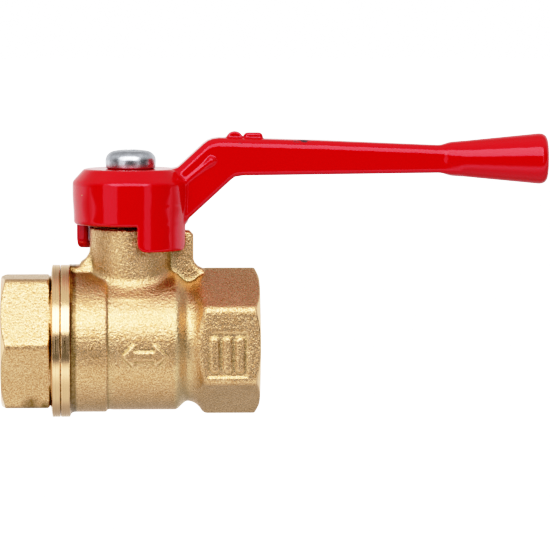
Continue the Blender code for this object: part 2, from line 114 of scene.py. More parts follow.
# neck
NECK_RADIUS = 9.8 * MM
NECK_FOOT = 2.0 * MM
NECK_TOP = BODY_HIGH.z
FLARE_WIDTH = 1.8 * MM
FLARE_TOP = 14.6 * MM
FLARE_HEIGHT = 3.4 * MM
RIB_HALF = 2.7 * MM
RIB_REACH = 15.0 * MM
RIB_TOP = 26.6 * MM
TONGUE_HALF = 3.2 * MM
STEM_BORE = 5.05 * MM
WASHER_POCKET = 7.1 * MM
WASHER_POCKET_TOP = 17.4 * MM
GLAND_BORE = 7.5 * MM
GLAND_FLOOR = 21.0 * MM
NUT_CONE_RADIUS = 8.2 * MM
NUT_SHANK = 7.2 * MM

# marks on the front, in millimetres where no unit is given
MARK_HEIGHT = 0.5 * MM
ARROW_CENTRE = (3.0, -2.4)
ARROW_OUTLINE = (
    (5.2, 0.0), (2.5, 2.7), (2.5, 1.0), (-2.5, 1.0), (-2.5, 2.7), (-5.2, 0.0), (-2.5, -2.7),
    (-2.5, -1.0), (2.5, -1.0), (2.5, -2.7),
)
PANEL_ALONG = (17.9 * MM, 27.6 * MM)
PANEL_UP = (-7.6 * MM, 3.2 * MM)
PANEL_DEPTH = 0.3 * MM
BAR_COUNT = 3
BAR_FIRST = 19.8
BAR_SPACING = 3.0
BAR_BOTTOM = -5.4 * MM
BAR_TOP = 1.0 * MM
BAR_RADIUS = 0.95 * MM

# lever
HUB_TOP = 41.4 * MM
HUB_RADIUS = 14.0 * MM
SKIRT_RADIUS = 13.7 * MM
SKIRT_INNER = 11.0 * MM
SKIRT_BOTTOM = 28.1 * MM
TAPER_TOP = 36.0 * MM
TAPER_BOTTOM = 29.0 * MM
SHOULDER_RADIUS = 11.2 * MM
LUG_TOP = 33.0 * MM
LUG_BOTTOM = LEVER_LOW.z
LUG_SPANS = ((-83.5, -16.5), (106.5, 163.0))
WEB_BOTTOM = 34.5 * MM
STEM_HALF_FLATS = 3.9 * MM
ARM_HALF_WIDTH = 5.0 * MM
ARM_NARROWING = 0.34
ARM_TAPER_START = 20.0 * MM
ARM_TAPER_LENGTH = 55.0 * MM
ARM_CHAMFER = 1.3 * MM
PAD_HALF_WIDTH = 2.2 * MM
PAD_FOOT = 46.0 * MM
RIDGE_START = (13.2 * MM, 38.6 * MM)
RIDGE_END = (19.2 * MM, 43.4 * MM)
WORN_SPOTS = (
    ((26.0, -3.6, 47.5), (1.0, 1.2, 0.5)),
    ((40.8, -2.9, 48.1), (2.6, 2.0, 0.7)),
)
GRIP_HEIGHT = 43.6 * MM
GRIP_ROOT = 75.0 * MM
GRIP_TAPER_LENGTH = 23.0 * MM
GRIP_END = LEVER_HIGH.x
GRIP_ROOT_RADIUS = 3.85 * MM
GRIP_END_RADIUS = 6.1 * MM

# screw
HEAD_SEAT = HUB_TOP
HEAD_TOP = SCREW_HIGH.z - 0.3 * MM
HEAD_RADIUS = SCREW_HIGH.x
HEAD_BULGE_HEIGHT = HEAD_SEAT + 1.7 * MM
DOME_RADIUS = 26.0 * MM
RECESS_TURNS = (20.0, 110.0)
RECESS_DEPTH = 2.6 * MM
SCREW_SHANK = 2.9 * MM

# slanted faces: cosines and sines that turn two offsets into one distance
DIAGONAL = 0.707
COS_60, SIN_60 = 0.5, 0.866
SIN_11, COS_11 = 0.192, 0.981
THREAD_SLOPE = 0.62

# grids: spacings, and factors on the cell that the user sets
BODY_CELL = 1.25
CONNECTOR_CELL = 0.9
SPIGOT_CELL = 1.5
RING_CELL = 0.5
MARGIN_CELLS = 3.0
BALL_CELL = 0.36 * MM
NUT_CELL = 0.25 * MM
SCREW_CELL = 0.15 * MM
EDGE_REACH = 0.5 * MM
HOLLOW_REACH = 2.2 * MM
ON_CONE = 0.06 * MM

# finishes
RESIDUE_COLOUR = (0.68, 0.53, 0.30, 1.0)
# dark brown for the real tarnish beside the ring and for painted shade in the inlet's undercut
STAIN_AND_SHADE_COLOUR = (0.16, 0.085, 0.02, 1.0)
SMEAR_COLOUR = (0.30, 0.03, 0.01, 1.0)
DUST_COLOUR = (0.75, 0.42, 0.12, 1.0)
CHIP_COLOUR = (0.05, 0.03, 0.03, 1.0)
ENAMEL_REFLECTION = (1.0, 0.42, 0.58, 1.0)
WHITE = (1.0, 1.0, 1.0, 1.0)

# stage
CAMERA_LENS = 328.0
CAMERA_PLACE = (-0.007, -1.2, 0.105)
CAMERA_TARGET = (0.0346, 0.0, 0.0157)
LIGHT_DISTANCE = 1.25
FLOOR_HALF = 15.0
FLOOR_HEIGHT = -0.4
# glow of the floor, seen only in reflections: painted light standing in for the lit table, with SHADOW_GLOW
# a painted shadow behind the valve
FRONT_GLOW = 0.02
FRONT_BAND_GLOW = 1.35
TABLE_GLOW = 0.68
SHADOW_GLOW = 0.36
BACK_RISE = 0.75
ROOM_GLOW = 0.02
BACK_GLOW = 1.0
ZENITH_GLOW = 0.75
BACK_ZENITH_GLOW = 0.45

# name, azimuth and elevation, width and height seen from the valve in degrees, radiance
SOFT_BOXES = (
    ("main_box", -5.0, 37.5, 70.0, 41.0, 2.55),
    ("left_box", -42.0, 15.0, 32.0, 58.0, 1.15),
    ("right_box", 33.0, 15.0, 15.0, 58.0, 1.05),
)

# points between the curve's own ends at (0, 0) and (1, 1)
TONE_CURVE = ((0.012, 0.006), (0.05, 0.082), (0.15, 0.30), (0.30, 0.61), (0.5, 0.85), (0.75, 0.96))
WHITE_LEVEL = 2.0


# ---------------------------------------------------------------- distance fields


def soft_max(a, b, width):
    """Larger of two distances, with the crease between them rounded over the given width."""
    blend = np.maximum(width - np.abs(a - b), 0.0) / width
    return np.maximum(a, b) + blend * blend * width / 4.0


def soft_min(a, b, width):
    """Smaller of two distances, with a fillet of the given width between them."""
    return -soft_max(-a, -b, width)


def step(value, low, high):
    """Smooth rise from 0 at low to 1 at high: 3 t squared minus 2 t cubed."""
    t = np.clip((value - low) / (high - low), 0.0, 1.0)
    return t * t * (3.0 - 2.0 * t)


def polygon_field(u, v, outline):
    """Distance from points (u, v) to a closed outline, negative inside it.

    Each side gives the distance to its nearest point; the sign flips at every side that a ray
    towards +u crosses."""
    points = np.array(outline)
    best = np.full(np.shape(u), np.inf)
    inside = np.zeros(np.shape(u), bool)
    for (u0, v0), (u1, v1) in zip(points, np.roll(points, -1, axis=0)):
        du, dv = u1 - u0, v1 - v0
        along = np.clip(((u - u0) * du + (v - v0) * dv) / (du * du + dv * dv), 0.0, 1.0)
        best = np.minimum(best, (u - u0 - along * du) ** 2 + (v - v0 - along * dv) ** 2)
        if dv != 0.0:
            between = (v0 > v) != (v1 > v)
            inside ^= between & (u < u0 + (v - v0) * du / dv)
    return np.where(inside, -1.0, 1.0) * np.sqrt(best)


def slab(value, low, high):
    """Distance to the slab between two parallel planes."""
    return np.abs(value - (low + high) / 2.0) - (high - low) / 2.0


def hex_field(u, v, half_flats, first_flat, edge):
    """Distance to a hexagonal prism: the largest of three slabs across its flats, edges rounded."""
    result = None
    for number in range(3):
        angle = math.radians(first_flat + 60.0 * number)
        distance = np.abs(u * math.cos(angle) + v * math.sin(angle)) - half_flats
        result = distance if result is None else soft_max(result, distance, edge)
    return result


def socket_field(depth, around, turn, passage):
    """Threaded pipe socket as a hole; depth is measured inwards from the mouth.

    The thread's radius rises and falls once per pitch along a helix, clipped flat at its crest and
    root, and it runs out at the end of its depth. One 45 degree cone opens the mouth and another
    leads to the passage."""
    phase = depth / THREAD_PITCH + turn / math.tau
    wave = np.abs(2.0 * (phase - np.floor(phase)) - 1.0)
    flank = np.clip(1.25 * wave - 0.12, 0.0, 1.0)
    height = THREAD_HEIGHT * (1.0 - step(depth, THREAD_DEPTH - THREAD_RUN_OUT, THREAD_DEPTH))
    threaded = (around - THREAD_MINOR - height * flank) * THREAD_SLOPE
    threaded = soft_max(threaded, slab(depth, -MM, THREAD_DEPTH), 0.2 * MM)
    mouth = (around - THREAD_MINOR - THREAD_HEIGHT - 0.15 * MM + depth) * DIAGONAL
    mouth = np.maximum(mouth, slab(depth, -MM, 4.0 * MM))
    lead = (around - THREAD_MINOR + (depth - THREAD_DEPTH)) * DIAGONAL
    lead = np.maximum(lead, slab(depth, THREAD_DEPTH - MM, THREAD_DEPTH + 3.0 * MM))
    through = np.maximum(around - passage, -depth)
    return np.minimum(np.minimum(threaded, mouth), np.minimum(lead, through))


def end_cone(along, around):
    """Distance to the cone that turns the corners off a hexagon; along is measured in from its end."""
    return (around - HEX_FACE_RADIUS) * math.sin(CHAMFER_ANGLE) - along * math.cos(CHAMFER_ANGLE)


def capsule(u, v, start, end, radius):
    """Distance to a round-ended bar between two points of a plane."""
    du, dv = end[0] - start[0], end[1] - start[1]
    along = np.clip(((u - start[0]) * du + (v - start[1]) * dv) / (du * du + dv * dv), 0.0, 1.0)
    return np.hypot(u - start[0] - along * du, v - start[1] - along * dv) - radius


# ---------------------------------------------------------------- skins over the fields


def spread(*stretches):
    """Grid lines: each stretch is (low, high, spacing), and the stretches follow each other."""
    lines = [np.linspace(low, high, max(2, round((high - low) / gap) + 1)) for low, high, gap in stretches]
    return np.concatenate([lines[0]] + [line[1:] for line in lines[1:]])


def sample(field, lines, block=8):
    """Field values on the grid; a block of nodes far from the surface keeps its centre's value."""
    counts = [len(line) for line in lines]
    padded = [np.append(line, line[-1] + np.arange(1, block + 1) * MM)[: -(-len(line) // block) * block]
              for line in lines]
    cubes = [line.reshape(-1, block) for line in padded]
    middle = np.meshgrid(*[cube.mean(axis=1) for cube in cubes], indexing="ij")
    half = np.meshgrid(*[(cube[:, -1] - cube[:, 0]) / 2.0 + 0.4 * MM for cube in cubes], indexing="ij")
    coarse = field(*middle)
    near = np.argwhere(np.abs(coarse) < 2.4 * np.sqrt(half[0] ** 2 + half[1] ** 2 + half[2] ** 2))
    values = np.kron(coarse, np.ones((block, block, block)))
    local = np.arange(block)
    index = [near[:, axis, None] * block + local for axis in range(3)]
    i, j, k = index[0][:, :, None, None], index[1][:, None, :, None], index[2][:, None, None, :]
    i, j, k = np.broadcast_arrays(i, j, k)
    values[i, j, k] = field(padded[0][i], padded[1][j], padded[2][k])
    return values[: counts[0], : counts[1], : counts[2]]


def settle(field, points, reach, rounds=4):
    """Move points onto the surface: against the gradient, by the distance over its slope."""
    nudge = 0.01 * MM
    for _ in range(rounds):
        value = field(*points.T)
        slope = np.stack([
            (field(*(points + nudge * axis).T) - value) / nudge for axis in np.eye(3)
        ], axis=1)
        move = (value / np.maximum((slope ** 2).sum(axis=1), 0.05))[:, None] * slope
        length = np.linalg.norm(move, axis=1, keepdims=True)
        points = points - move * np.minimum(1.0, reach / np.maximum(length, 1e-12))
    return points


def skin(field, lines):
    """Closed quad mesh round the field's zero surface, one point per grid cell that it crosses.

    A cell's point is the mean of the crossings on its twelve edges, then settled on the surface;
    every grid edge that the surface crosses gives one face between the four cells round it."""
    values = sample(field, lines)
    inside = values < 0.0
    cells = [count - 1 for count in values.shape]
    weights = np.array([cells[1] * cells[2], cells[2], 1])
    owners, crossings, quads = [], [], []
    for axis in range(3):
        lower = [slice(None)] * 3
        upper = [slice(None)] * 3
        lower[axis], upper[axis] = slice(0, -1), slice(1, None)
        low_in, high_in = inside[tuple(lower)], inside[tuple(upper)]
        edges = np.argwhere(low_in != high_in)
        i, j, k = edges.T
        low = values[tuple(lower)][i, j, k]
        high = values[tuple(upper)][i, j, k]
        place = np.stack([lines[a][edges[:, a]] for a in range(3)], axis=1)
        line = lines[axis]
        place[:, axis] += (line[edges[:, axis] + 1] - line[edges[:, axis]]) * low / (low - high)
        u, v = (axis + 1) % 3, (axis + 2) % 3
        ring = []
        for back_u, back_v in ((0, 0), (1, 0), (1, 1), (0, 1)):
            cell = edges.copy()
            cell[:, u] -= back_u
            cell[:, v] -= back_v
            ring.append(cell @ weights)
            crossings.append(place)
        owners += ring
        quad = np.stack(ring, axis=1)
        flip = ~low_in[i, j, k]
        quad[flip] = quad[flip, ::-1]
        quads.append(quad)
    ids, member = np.unique(np.concatenate(owners), return_inverse=True)
    crossings = np.concatenate(crossings)
    count = np.bincount(member)
    points = np.stack([np.bincount(member, weights=crossings[:, a]) / count for a in range(3)], axis=1)
    quads = np.searchsorted(ids, np.concatenate(quads))
    reach = 0.5 * min(float(np.diff(line).min()) for line in lines)
    return settle(field, points, reach), quads


def bend_of(field, points, reach):
    """Signed bend of the surface at each point: above 0 on outer edges, below 0 in hollows.

    It is the mean distance at six points round it, less its own, over their reach."""
    own = field(*points.T)
    total = sum(field(*(points + side * reach * axis).T) for axis in np.eye(3) for side in (-1.0, 1.0))
    return (total / 6.0 - own) / reach


def blob(points, centre, radius):
    """Mask that fades from 1 at a centre to 0 at a radius."""
    return 1.0 - step(np.linalg.norm(points - np.array(centre), axis=1), 0.0, radius)


def add_mesh(name, points, faces, attributes=None):
    """New object from arrays of points and faces, with a number stored at each point."""
    mesh = bpy.data.meshes.new(name)
    faces = np.asarray(faces)
    mesh.vertices.add(len(points))
    mesh.vertices.foreach_set("co", np.ascontiguousarray(points, np.float32).ravel())
    mesh.loops.add(faces.size)
    mesh.loops.foreach_set("vertex_index", faces.astype(np.int32).ravel())
    mesh.polygons.add(len(faces))
    mesh.polygons.foreach_set("loop_start", np.arange(0, faces.size, faces.shape[1], dtype=np.int32))
    mesh.update(calc_edges=True)
    mesh.validate()
    mesh.shade_smooth()
    for key, numbers in (attributes or {}).items():
        layer = mesh.attributes.new(key, "FLOAT", "POINT")
        layer.data.foreach_set("value", np.ascontiguousarray(numbers, np.float32))
    obj = bpy.data.objects.new(name, mesh)
    bpy.context.scene.collection.objects.link(obj)
    return obj


def turned(name, profile, steps=160):
    """Closed ring spun round the pipe axis.

    The profile's (along, radius) points go round once; the radius is carried round the axis as
    radius times cosine and radius times sine."""
    along, radius = np.array(profile).T
    turn = np.linspace(0.0, math.tau, steps, endpoint=False)
    x = np.broadcast_to(along, (steps, len(along)))
    y = np.outer(np.cos(turn), radius)
    z = np.outer(np.sin(turn), radius)
    points = np.stack([x, y, z], axis=-1).reshape(-1, 3)
    i, j = np.meshgrid(np.arange(steps), np.arange(len(along)), indexing="ij")
    i2, j2 = (i + 1) % steps, (j + 1) % len(along)
    n = len(along)
    faces = np.stack([i * n + j, i * n + j2, i2 * n + j2, i2 * n + j], axis=-1).reshape(-1, 4)
    if np.sum(along * np.roll(radius, -1) - np.roll(along, -1) * radius) > 0.0:
        faces = faces[:, ::-1]
    return add_mesh(name, points, faces)


def install(piece, body, slot, material, *nodes):
    """Give a piece its material, its body and the nodes that it stands for."""
    piece.data.materials.append(material)
    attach(piece, body)
    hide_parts(*nodes)
    return piece


# ---------------------------------------------------------------- the pieces' fields


def body_outside(x, y, z):
    """Forging without its holes: drum, waist, hexagon, neck, stop rib, tongue and marks."""
    around = np.hypot(y, z)
    across = np.hypot(x, y)
    groove = PARTING_DEPTH * np.exp(-(((x - DRUM_STEP - 0.5 * MM) / PARTING_WIDTH) ** 2))
    radius = BARREL_RADIUS - (BARREL_RADIUS - WAIST_RADIUS) * step(x, WAIST_START, WAIST_FULL) - groove
    barrel = soft_max(around - radius, slab(x, RING_SEAM, BARREL_END), 0.3 * MM)
    flare = FLARE_WIDTH * np.clip((FLARE_TOP - z) / FLARE_HEIGHT, 0.0, 1.0) ** 2
    neck = soft_max(across - NECK_RADIUS - flare, slab(z, NECK_FOOT, NECK_TOP), 1.0 * MM)
    drum = soft_max(around - DRUM_RADIUS, slab(x, RING_SEAM, DRUM_STEP), 0.5 * MM)
    solid = soft_min(soft_min(barrel, neck, 2.2 * MM), drum, 0.3 * MM)

    ring = soft_max(around - RING_RADIUS, slab(x, RING_SEAM + SEAM_GAP / 2.0, RING_RIGHT), 0.15 * MM)
    solid = soft_min(solid, ring, 1.3 * MM)
    solid = np.maximum(solid, RING_SEAM + SEAM_GAP / 2.0 - x)

    hexagon = hex_field(y, z, HEX_HALF_FLATS, 0.0, HEX_EDGE)
    hexagon = soft_max(hexagon, end_cone(OUTLET_END - x, around), 0.25 * MM)
    back = (around - 16.0 * MM) * COS_60 - (x - OUTLET_HEX_INNER) * SIN_60
    hexagon = soft_max(hexagon, back, 0.9 * MM)
    hexagon = soft_max(hexagon, x - OUTLET_END, 0.25 * MM)
    hexagon = np.where(y < 0.0, hexagon + panel_sink(x, z) - outlet_marks(x, z), hexagon)
    solid = soft_min(solid, hexagon, 2.2 * MM)

    rib_outline = [
        (7.0 * MM, 9.0 * MM), (7.0 * MM, RIB_TOP), (RIB_REACH - 1.0 * MM, RIB_TOP),
        (RIB_REACH, RIB_TOP - 1.0 * MM), (RIB_REACH, 19.7 * MM), (15.4 * MM, 18.7 * MM),
        (16.2 * MM, 17.9 * MM), (17.5 * MM, 17.3 * MM), (17.9 * MM, 15.0 * MM), (17.0 * MM, 9.0 * MM),
    ]
    rib = soft_max(polygon_field(x, z, rib_outline), np.abs(y) - RIB_HALF, 1.1 * MM)
    tongue_outline = [
        (-7.0 * MM, 9.0 * MM), (-7.0 * MM, 24.0 * MM), (-9.6 * MM, 22.8 * MM), (-10.0 * MM, 21.2 * MM),
        (-10.8 * MM, 19.9 * MM), (-12.0 * MM, 19.0 * MM), (-12.3 * MM, 18.3 * MM), (-14.6 * MM, 18.2 * MM),
        (-13.5 * MM, 15.9 * MM), (-13.5 * MM, 9.0 * MM),
    ]
    draft = 0.5 * np.clip(19.0 * MM - z, 0.0, 3.2 * MM)
    sides = (np.abs(y) - TONGUE_HALF - draft) * 0.9
    tongue = soft_max(polygon_field(x, z, tongue_outline), sides, 0.9 * MM)
    solid = soft_min(solid, soft_min(rib, tongue, 0.4 * MM), 0.5 * MM)
    return solid - np.where(y < 0.0, flow_arrow(x, z), 0.0)


def flow_arrow(x, z):
    """Height of the raised two-way arrow on the front of the barrel."""
    outline = [((u + ARROW_CENTRE[0]) * MM, (v + ARROW_CENTRE[1]) * MM) for u, v in ARROW_OUTLINE]
    return MARK_HEIGHT * step(-polygon_field(x, z, outline), -0.32 * MM, 0.16 * MM)


def panel_sink(x, z):
    """Depth of the shallow panel in the front flat of the outlet hexagon."""
    panel = np.maximum(slab(x, *PANEL_ALONG), slab(z, *PANEL_UP))
    return PANEL_DEPTH * step(-panel, -0.25 * MM, 0.35 * MM)


def outlet_marks(x, z):
    """Height of the plain upright bars in that panel."""
    away = np.inf
    for number in range(BAR_COUNT):
        centre = (BAR_FIRST + BAR_SPACING * number) * MM
        away = np.minimum(away, capsule(x, z, (centre, BAR_BOTTOM), (centre, BAR_TOP), BAR_RADIUS))
    return MARK_HEIGHT * step(-away, -0.3 * MM, 0.3 * MM)


def body_field(x, y, z):
    """The forging less its chamber, passage, socket, stem bore and spigot bore."""
    around = np.hypot(y, z)
    across = np.hypot(x, y)
    turn = np.arctan2(z, y)
    holes = socket_field(OUTLET_END - x, around, turn, PASSAGE_RADIUS)
    holes = np.maximum(holes, -(x - PASSAGE_START))
    bore = [
        (RING_SEAM - 3.0 * MM, -MM), (RING_SEAM - 3.0 * MM, SPIGOT_BORE), (CHAMBER_LEFT, SPIGOT_BORE),
        (CHAMBER_LEFT, CHAMBER_RADIUS), (CHAMBER_RIGHT, CHAMBER_RADIUS), (CHAMBER_RIGHT, SEAT_POCKET),
        (SEAT_BACK + SEAT_SLACK, SEAT_POCKET), (SEAT_BACK + SEAT_SLACK, -MM),
    ]
    holes = np.minimum(holes, polygon_field(x, around, bore))
    pocket = np.maximum(across - WASHER_POCKET, slab(z, NECK_FOOT, WASHER_POCKET_TOP))
    stem = np.maximum(across - STEM_BORE, slab(z, NECK_FOOT, 26.0 * MM))
    gland = np.maximum(across - GLAND_BORE, slab(z, GLAND_FLOOR, 30.0 * MM))
    holes = np.minimum(holes, np.minimum(pocket, np.minimum(stem, gland)))
    return soft_max(body_outside(x, y, z), -holes, 0.25 * MM)


def connector_field(x, y, z):
    """Hexagon, undercut, polished ring and spigot, bored through with a threaded socket."""
    around = np.hypot(y, z)
    turn = np.arctan2(z, y)
    hexagon = hex_field(y, z, HEX_HALF_FLATS, 30.0, HEX_EDGE)
    hexagon = soft_max(hexagon, end_cone(x - INLET_END, around), 0.25 * MM)
    back = (around - 16.9 * MM) * COS_60 + (x - INLET_HEX_INNER) * SIN_60
    hexagon = soft_max(hexagon, back, 0.4 * MM)
    hexagon = soft_max(hexagon, slab(x, INLET_END, INLET_HEX_INNER), 0.25 * MM)
    core = np.maximum(around - GROOVE_RADIUS, slab(x, INLET_HEX_INNER - 3.0 * MM, RING_LEFT + MM))
    ring = soft_max(around - RING_RADIUS, slab(x, RING_LEFT, RING_SEAM - SEAM_GAP / 2.0), 0.15 * MM)
    lead = (around - RING_RADIUS) * SIN_11 - (x - RING_LEFT - LEAD_START) * COS_11
    ring = soft_max(ring, lead, 0.15 * MM)
    spigot = soft_max(around - SPIGOT_RADIUS, slab(x, RING_LEFT + MM, CONNECTOR_HIGH.x), 0.4 * MM)
    solid = np.minimum(soft_min(hexagon, core, 0.5 * MM), np.minimum(ring, spigot))
    holes = socket_field(x - INLET_END, around, -turn, PASSAGE_RADIUS)
    pocket = np.maximum(around - SEAT_POCKET, slab(x, -SEAT_BACK - SEAT_SLACK, 2.0 * MM))
    return soft_max(solid, -np.minimum(holes, pocket), 0.25 * MM)


def ball_field(x, y, z):
    """Sphere less its port and the slot across its top."""
    sphere = np.sqrt(x * x + y * y + z * z) - BALL_RADIUS
    port = np.hypot(y, z) - PORT_RADIUS
    slot = np.maximum(np.abs(x) - TANG_SLOT_HALF, TANG_SLOT_FLOOR - z)
    return soft_max(sphere, -np.minimum(port, slot), 0.35 * MM)


def arm_field(x, y, z):
    """Arm of the lever: a side outline carried across, with its two top edges turned off.

    Its half width falls in a straight line towards the grip."""
    outline = [
        (8.0 * MM, SKIRT_BOTTOM + 0.2 * MM), (12.5 * MM, SKIRT_BOTTOM + 0.2 * MM),
        (23.9 * MM, 38.75 * MM), (24.9 * MM, 39.5 * MM), (26.8 * MM, 39.8 * MM),
        (79.0 * MM, 40.35 * MM), (79.0 * MM, 60.0 * MM), (8.0 * MM, 60.0 * MM),
    ]
    run = np.clip((x - ARM_TAPER_START) / ARM_TAPER_LENGTH, 0.0, 1.0)
    side = np.abs(y) - ARM_HALF_WIDTH * (1.0 - ARM_NARROWING * run)
    below = soft_max(polygon_field(x, z, outline), side, 1.6 * MM)
    top_line = np.interp(x, np.array([8.0, 11.0, 17.4, 18.4, 19.5, 21.2, 45.0, 79.0]) * MM,
                         np.array([38.9, 41.5, 47.4, 48.15, 48.6, 48.85, 48.15, 46.7]) * MM)
    top = (z - top_line) * np.interp(x, [17.0 * MM, 21.0 * MM], [0.72, 1.0])
    rounding = np.interp(x, [17.0 * MM, 22.0 * MM], [0.28 * MM, 0.8 * MM])
    chamfer = (side + top + ARM_CHAMFER) * DIAGONAL
    return soft_max(soft_max(below, top, 0.4 * MM), chamfer, rounding)


def ridge_field(x, y, z, start, end):
    """Distance to the little ridge on the arm's front: a bar that thickens towards a blunt end."""
    du, dv = end[0] - start[0], end[1] - start[1]
    along = np.clip(((x - start[0]) * du + (z - start[1]) * dv) / (du * du + dv * dv), 0.0, 1.0)
    away = np.hypot(x - start[0] - along * du, z - start[1] - along * dv)
    return np.hypot(away, y + ARM_HALF_WIDTH - 0.3 * MM) - (0.6 + 0.5 * along ** 3) * MM


def lever_field(x, y, z):
    """The whole casting: hub, skirt, two lugs, arm, raised pads and grip."""
    across = np.hypot(x, y)
    shell = HUB_RADIUS - (HUB_RADIUS - SKIRT_RADIUS) * step(-z, -TAPER_TOP, -TAPER_BOTTOM)
    hub = soft_max(across - shell, slab(z, SKIRT_BOTTOM, HUB_TOP), 0.9 * MM)
    shoulder = (across - SHOULDER_RADIUS) * 0.74 + (z - HUB_TOP) * 0.67
    hub = soft_max(hub, shoulder, 0.45 * MM)
    for low, high in LUG_SPANS:
        first, last = math.radians(low), math.radians(high)
        before = x * math.sin(first) - y * math.cos(first)
        after = y * math.cos(last) - x * math.sin(last)
        lug = soft_max(np.maximum(before, after), LUG_BOTTOM - z, 2.6 * MM)
        lug = soft_max(lug, across - shell, 0.6 * MM)
        lug = np.maximum(lug, z - LUG_TOP)
        hub = soft_min(hub, lug, 0.12 * MM)
    swell = (GRIP_END_RADIUS - GRIP_ROOT_RADIUS) * (x - GRIP_ROOT) / GRIP_TAPER_LENGTH
    grip_radius = GRIP_ROOT_RADIUS + swell
    from_grip = np.hypot(y, z - GRIP_HEIGHT)
    grip = soft_max(from_grip - grip_radius, slab(x, GRIP_ROOT, GRIP_END), 2.6 * MM)
    arm = soft_min(arm_field(x, y, z), grip, 1.6 * MM)
    pad_side = np.abs(y) - PAD_HALF_WIDTH
    round_pad = np.maximum(np.hypot(x - 24.9 * MM, z - 48.2 * MM) - 2.1 * MM, pad_side)
    flat_top = soft_max(z - 50.0 * MM, pad_side, 0.6 * MM)
    flat_pad = soft_max(slab(x, 27.0 * MM, 31.7 * MM), flat_top, 1.2 * MM)
    pads = np.maximum(np.minimum(round_pad, flat_pad), PAD_FOOT - z)
    arm = soft_min(arm, pads, 0.5 * MM)
    arm = soft_min(arm, ridge_field(x, y, z, RIDGE_START, RIDGE_END), 0.5 * MM)
    solid = soft_min(hub, arm, 1.0 * MM)
    hollow = soft_max(across - SKIRT_INNER, z - WEB_BOTTOM, 1.5 * MM)
    hole = soft_max(across - STEM_BORE, np.abs(y) - STEM_HALF_FLATS, 0.2 * MM)
    return soft_max(solid, -np.minimum(hollow, hole), 0.8 * MM)


def nut_field(x, y, z):
    """Gland nut: hexagon with turned-off top corners, threaded shank and stem hole."""
    across = np.hypot(x, y)
    head = hex_field(x, y, (NUT_HIGH.y - NUT_LOW.y) / 2.0, 30.0, 0.5 * MM)
    head = soft_max(head, slab(z, NECK_TOP + 0.3 * MM, NUT_HIGH.z), 0.3 * MM)
    cone = (across - NUT_CONE_RADIUS) * COS_60 + (z - NUT_HIGH.z) * SIN_60
    head = soft_max(head, cone, 0.25 * MM)
    shank = np.maximum(across - NUT_SHANK, slab(z, NUT_LOW.z, NECK_TOP + MM))
    return soft_max(np.minimum(head, shank), STEM_BORE - across, 0.25 * MM)


def screw_field(x, y, z):
    """Pan head screw: barrel-sided head with a domed top, cross recess and plain shank.

    The head's radius falls with the square of the height from its widest place, the dome is part
    of a large sphere, and the recess is two crossed blades that narrow with depth."""
    across = np.hypot(x, y)
    side = across - HEAD_RADIUS + ((z - HEAD_BULGE_HEIGHT) / MM) ** 2 * 0.055 * MM
    dome = np.sqrt(across ** 2 + (z - HEAD_TOP + DOME_RADIUS) ** 2) - DOME_RADIUS
    head = soft_max(soft_max(side, dome, 1.9 * MM), HEAD_SEAT - z, 0.5 * MM)
    depth = HEAD_TOP - z
    slot = np.inf
    for turn in RECESS_TURNS:
        a = math.radians(turn)
        u, v = x * math.cos(a) + y * math.sin(a), y * math.cos(a) - x * math.sin(a)
        blade = np.maximum(np.abs(u) - (3.0 * MM - depth * 0.75), np.abs(v) - 0.55 * MM)
        slot = np.minimum(slot, blade)
    slot = np.maximum(slot, depth - RECESS_DEPTH)
    shank = np.maximum(across - SCREW_SHANK, slab(z, SCREW_LOW.z, HEAD_SEAT + MM))
    return soft_max(np.minimum(head, shank), -slot, 0.2 * MM)


# ---------------------------------------------------------------- materials


def shade(colour, factors):
    """Colour with alpha: each channel times its factor, and 1 at most."""
    return tuple(min(1.0, channel * factor) for channel, factor in zip(colour, factors)) + (1.0,)


def new_material(name):
    """Material with one Principled shader, and its node tree."""
    mat = bpy.data.materials.new(name)
    mat.use_nodes = True
    return mat, mat.node_tree, mat.node_tree.nodes["Principled BSDF"]


def new_group(name, inputs, outputs):
    """Shader node group with named number or colour sockets."""
    tree = bpy.data.node_groups.new(name, "ShaderNodeTree")
    for label, kind, default in inputs:
        socket = tree.interface.new_socket(name=label, in_out="INPUT", socket_type=kind)
        socket.default_value = default
    for label, kind in outputs:
        tree.interface.new_socket(name=label, in_out="OUTPUT", socket_type=kind)
    return tree, tree.nodes.new("NodeGroupInput"), tree.nodes.new("NodeGroupOutput")


def node(tree, kind, settings=None, **sockets):
    """Add a node; settings are its properties, sockets its values or the outputs to link in."""
    made = tree.nodes.new(kind)
    for key, value in (settings or {}).items():
        setattr(made, key, value)
    for key, value in sockets.items():
        socket = made.inputs[int(key[1:])] if key[0] == "i" and key[1:].isdigit() else made.inputs[key]
        if isinstance(value, bpy.types.NodeSocket):
            tree.links.new(value, socket)
        else:
            socket.default_value = value
    return made


def maths(tree, operation, first, second=0.0, third=0.0):
    """Output of a Math node."""
    return node(tree, "ShaderNodeMath", {"operation": operation}, i0=first, i1=second, i2=third).outputs[0]


def blend(tree, factor, first, second, mode="MIX"):
    """Output of a colour Mix node."""
    made = node(tree, "ShaderNodeMix", {"data_type": "RGBA", "blend_type": mode})
    for index, value in ((0, factor), (6, first), (7, second)):
        if isinstance(value, bpy.types.NodeSocket):
            tree.links.new(value, made.inputs[index])
        else:
            made.inputs[index].default_value = value
    return made.outputs[2]


def blend_number(tree, factor, first, second):
    """Output of a number Mix node."""
    return node(tree, "ShaderNodeMix", {"data_type": "FLOAT"}, i0=factor, i2=first, i3=second).outputs[0]


def remap(tree, value, low, high, to_low=0.0, to_high=1.0):
    """Output of a clamped Map Range node."""
    made = node(tree, "ShaderNodeMapRange", None, i0=value, i1=low, i2=high, i3=to_low, i4=to_high)
    return made.outputs[0]


def object_point(tree):
    """Object coordinates of the shaded point."""
    return node(tree, "ShaderNodeTexCoord").outputs["Object"]


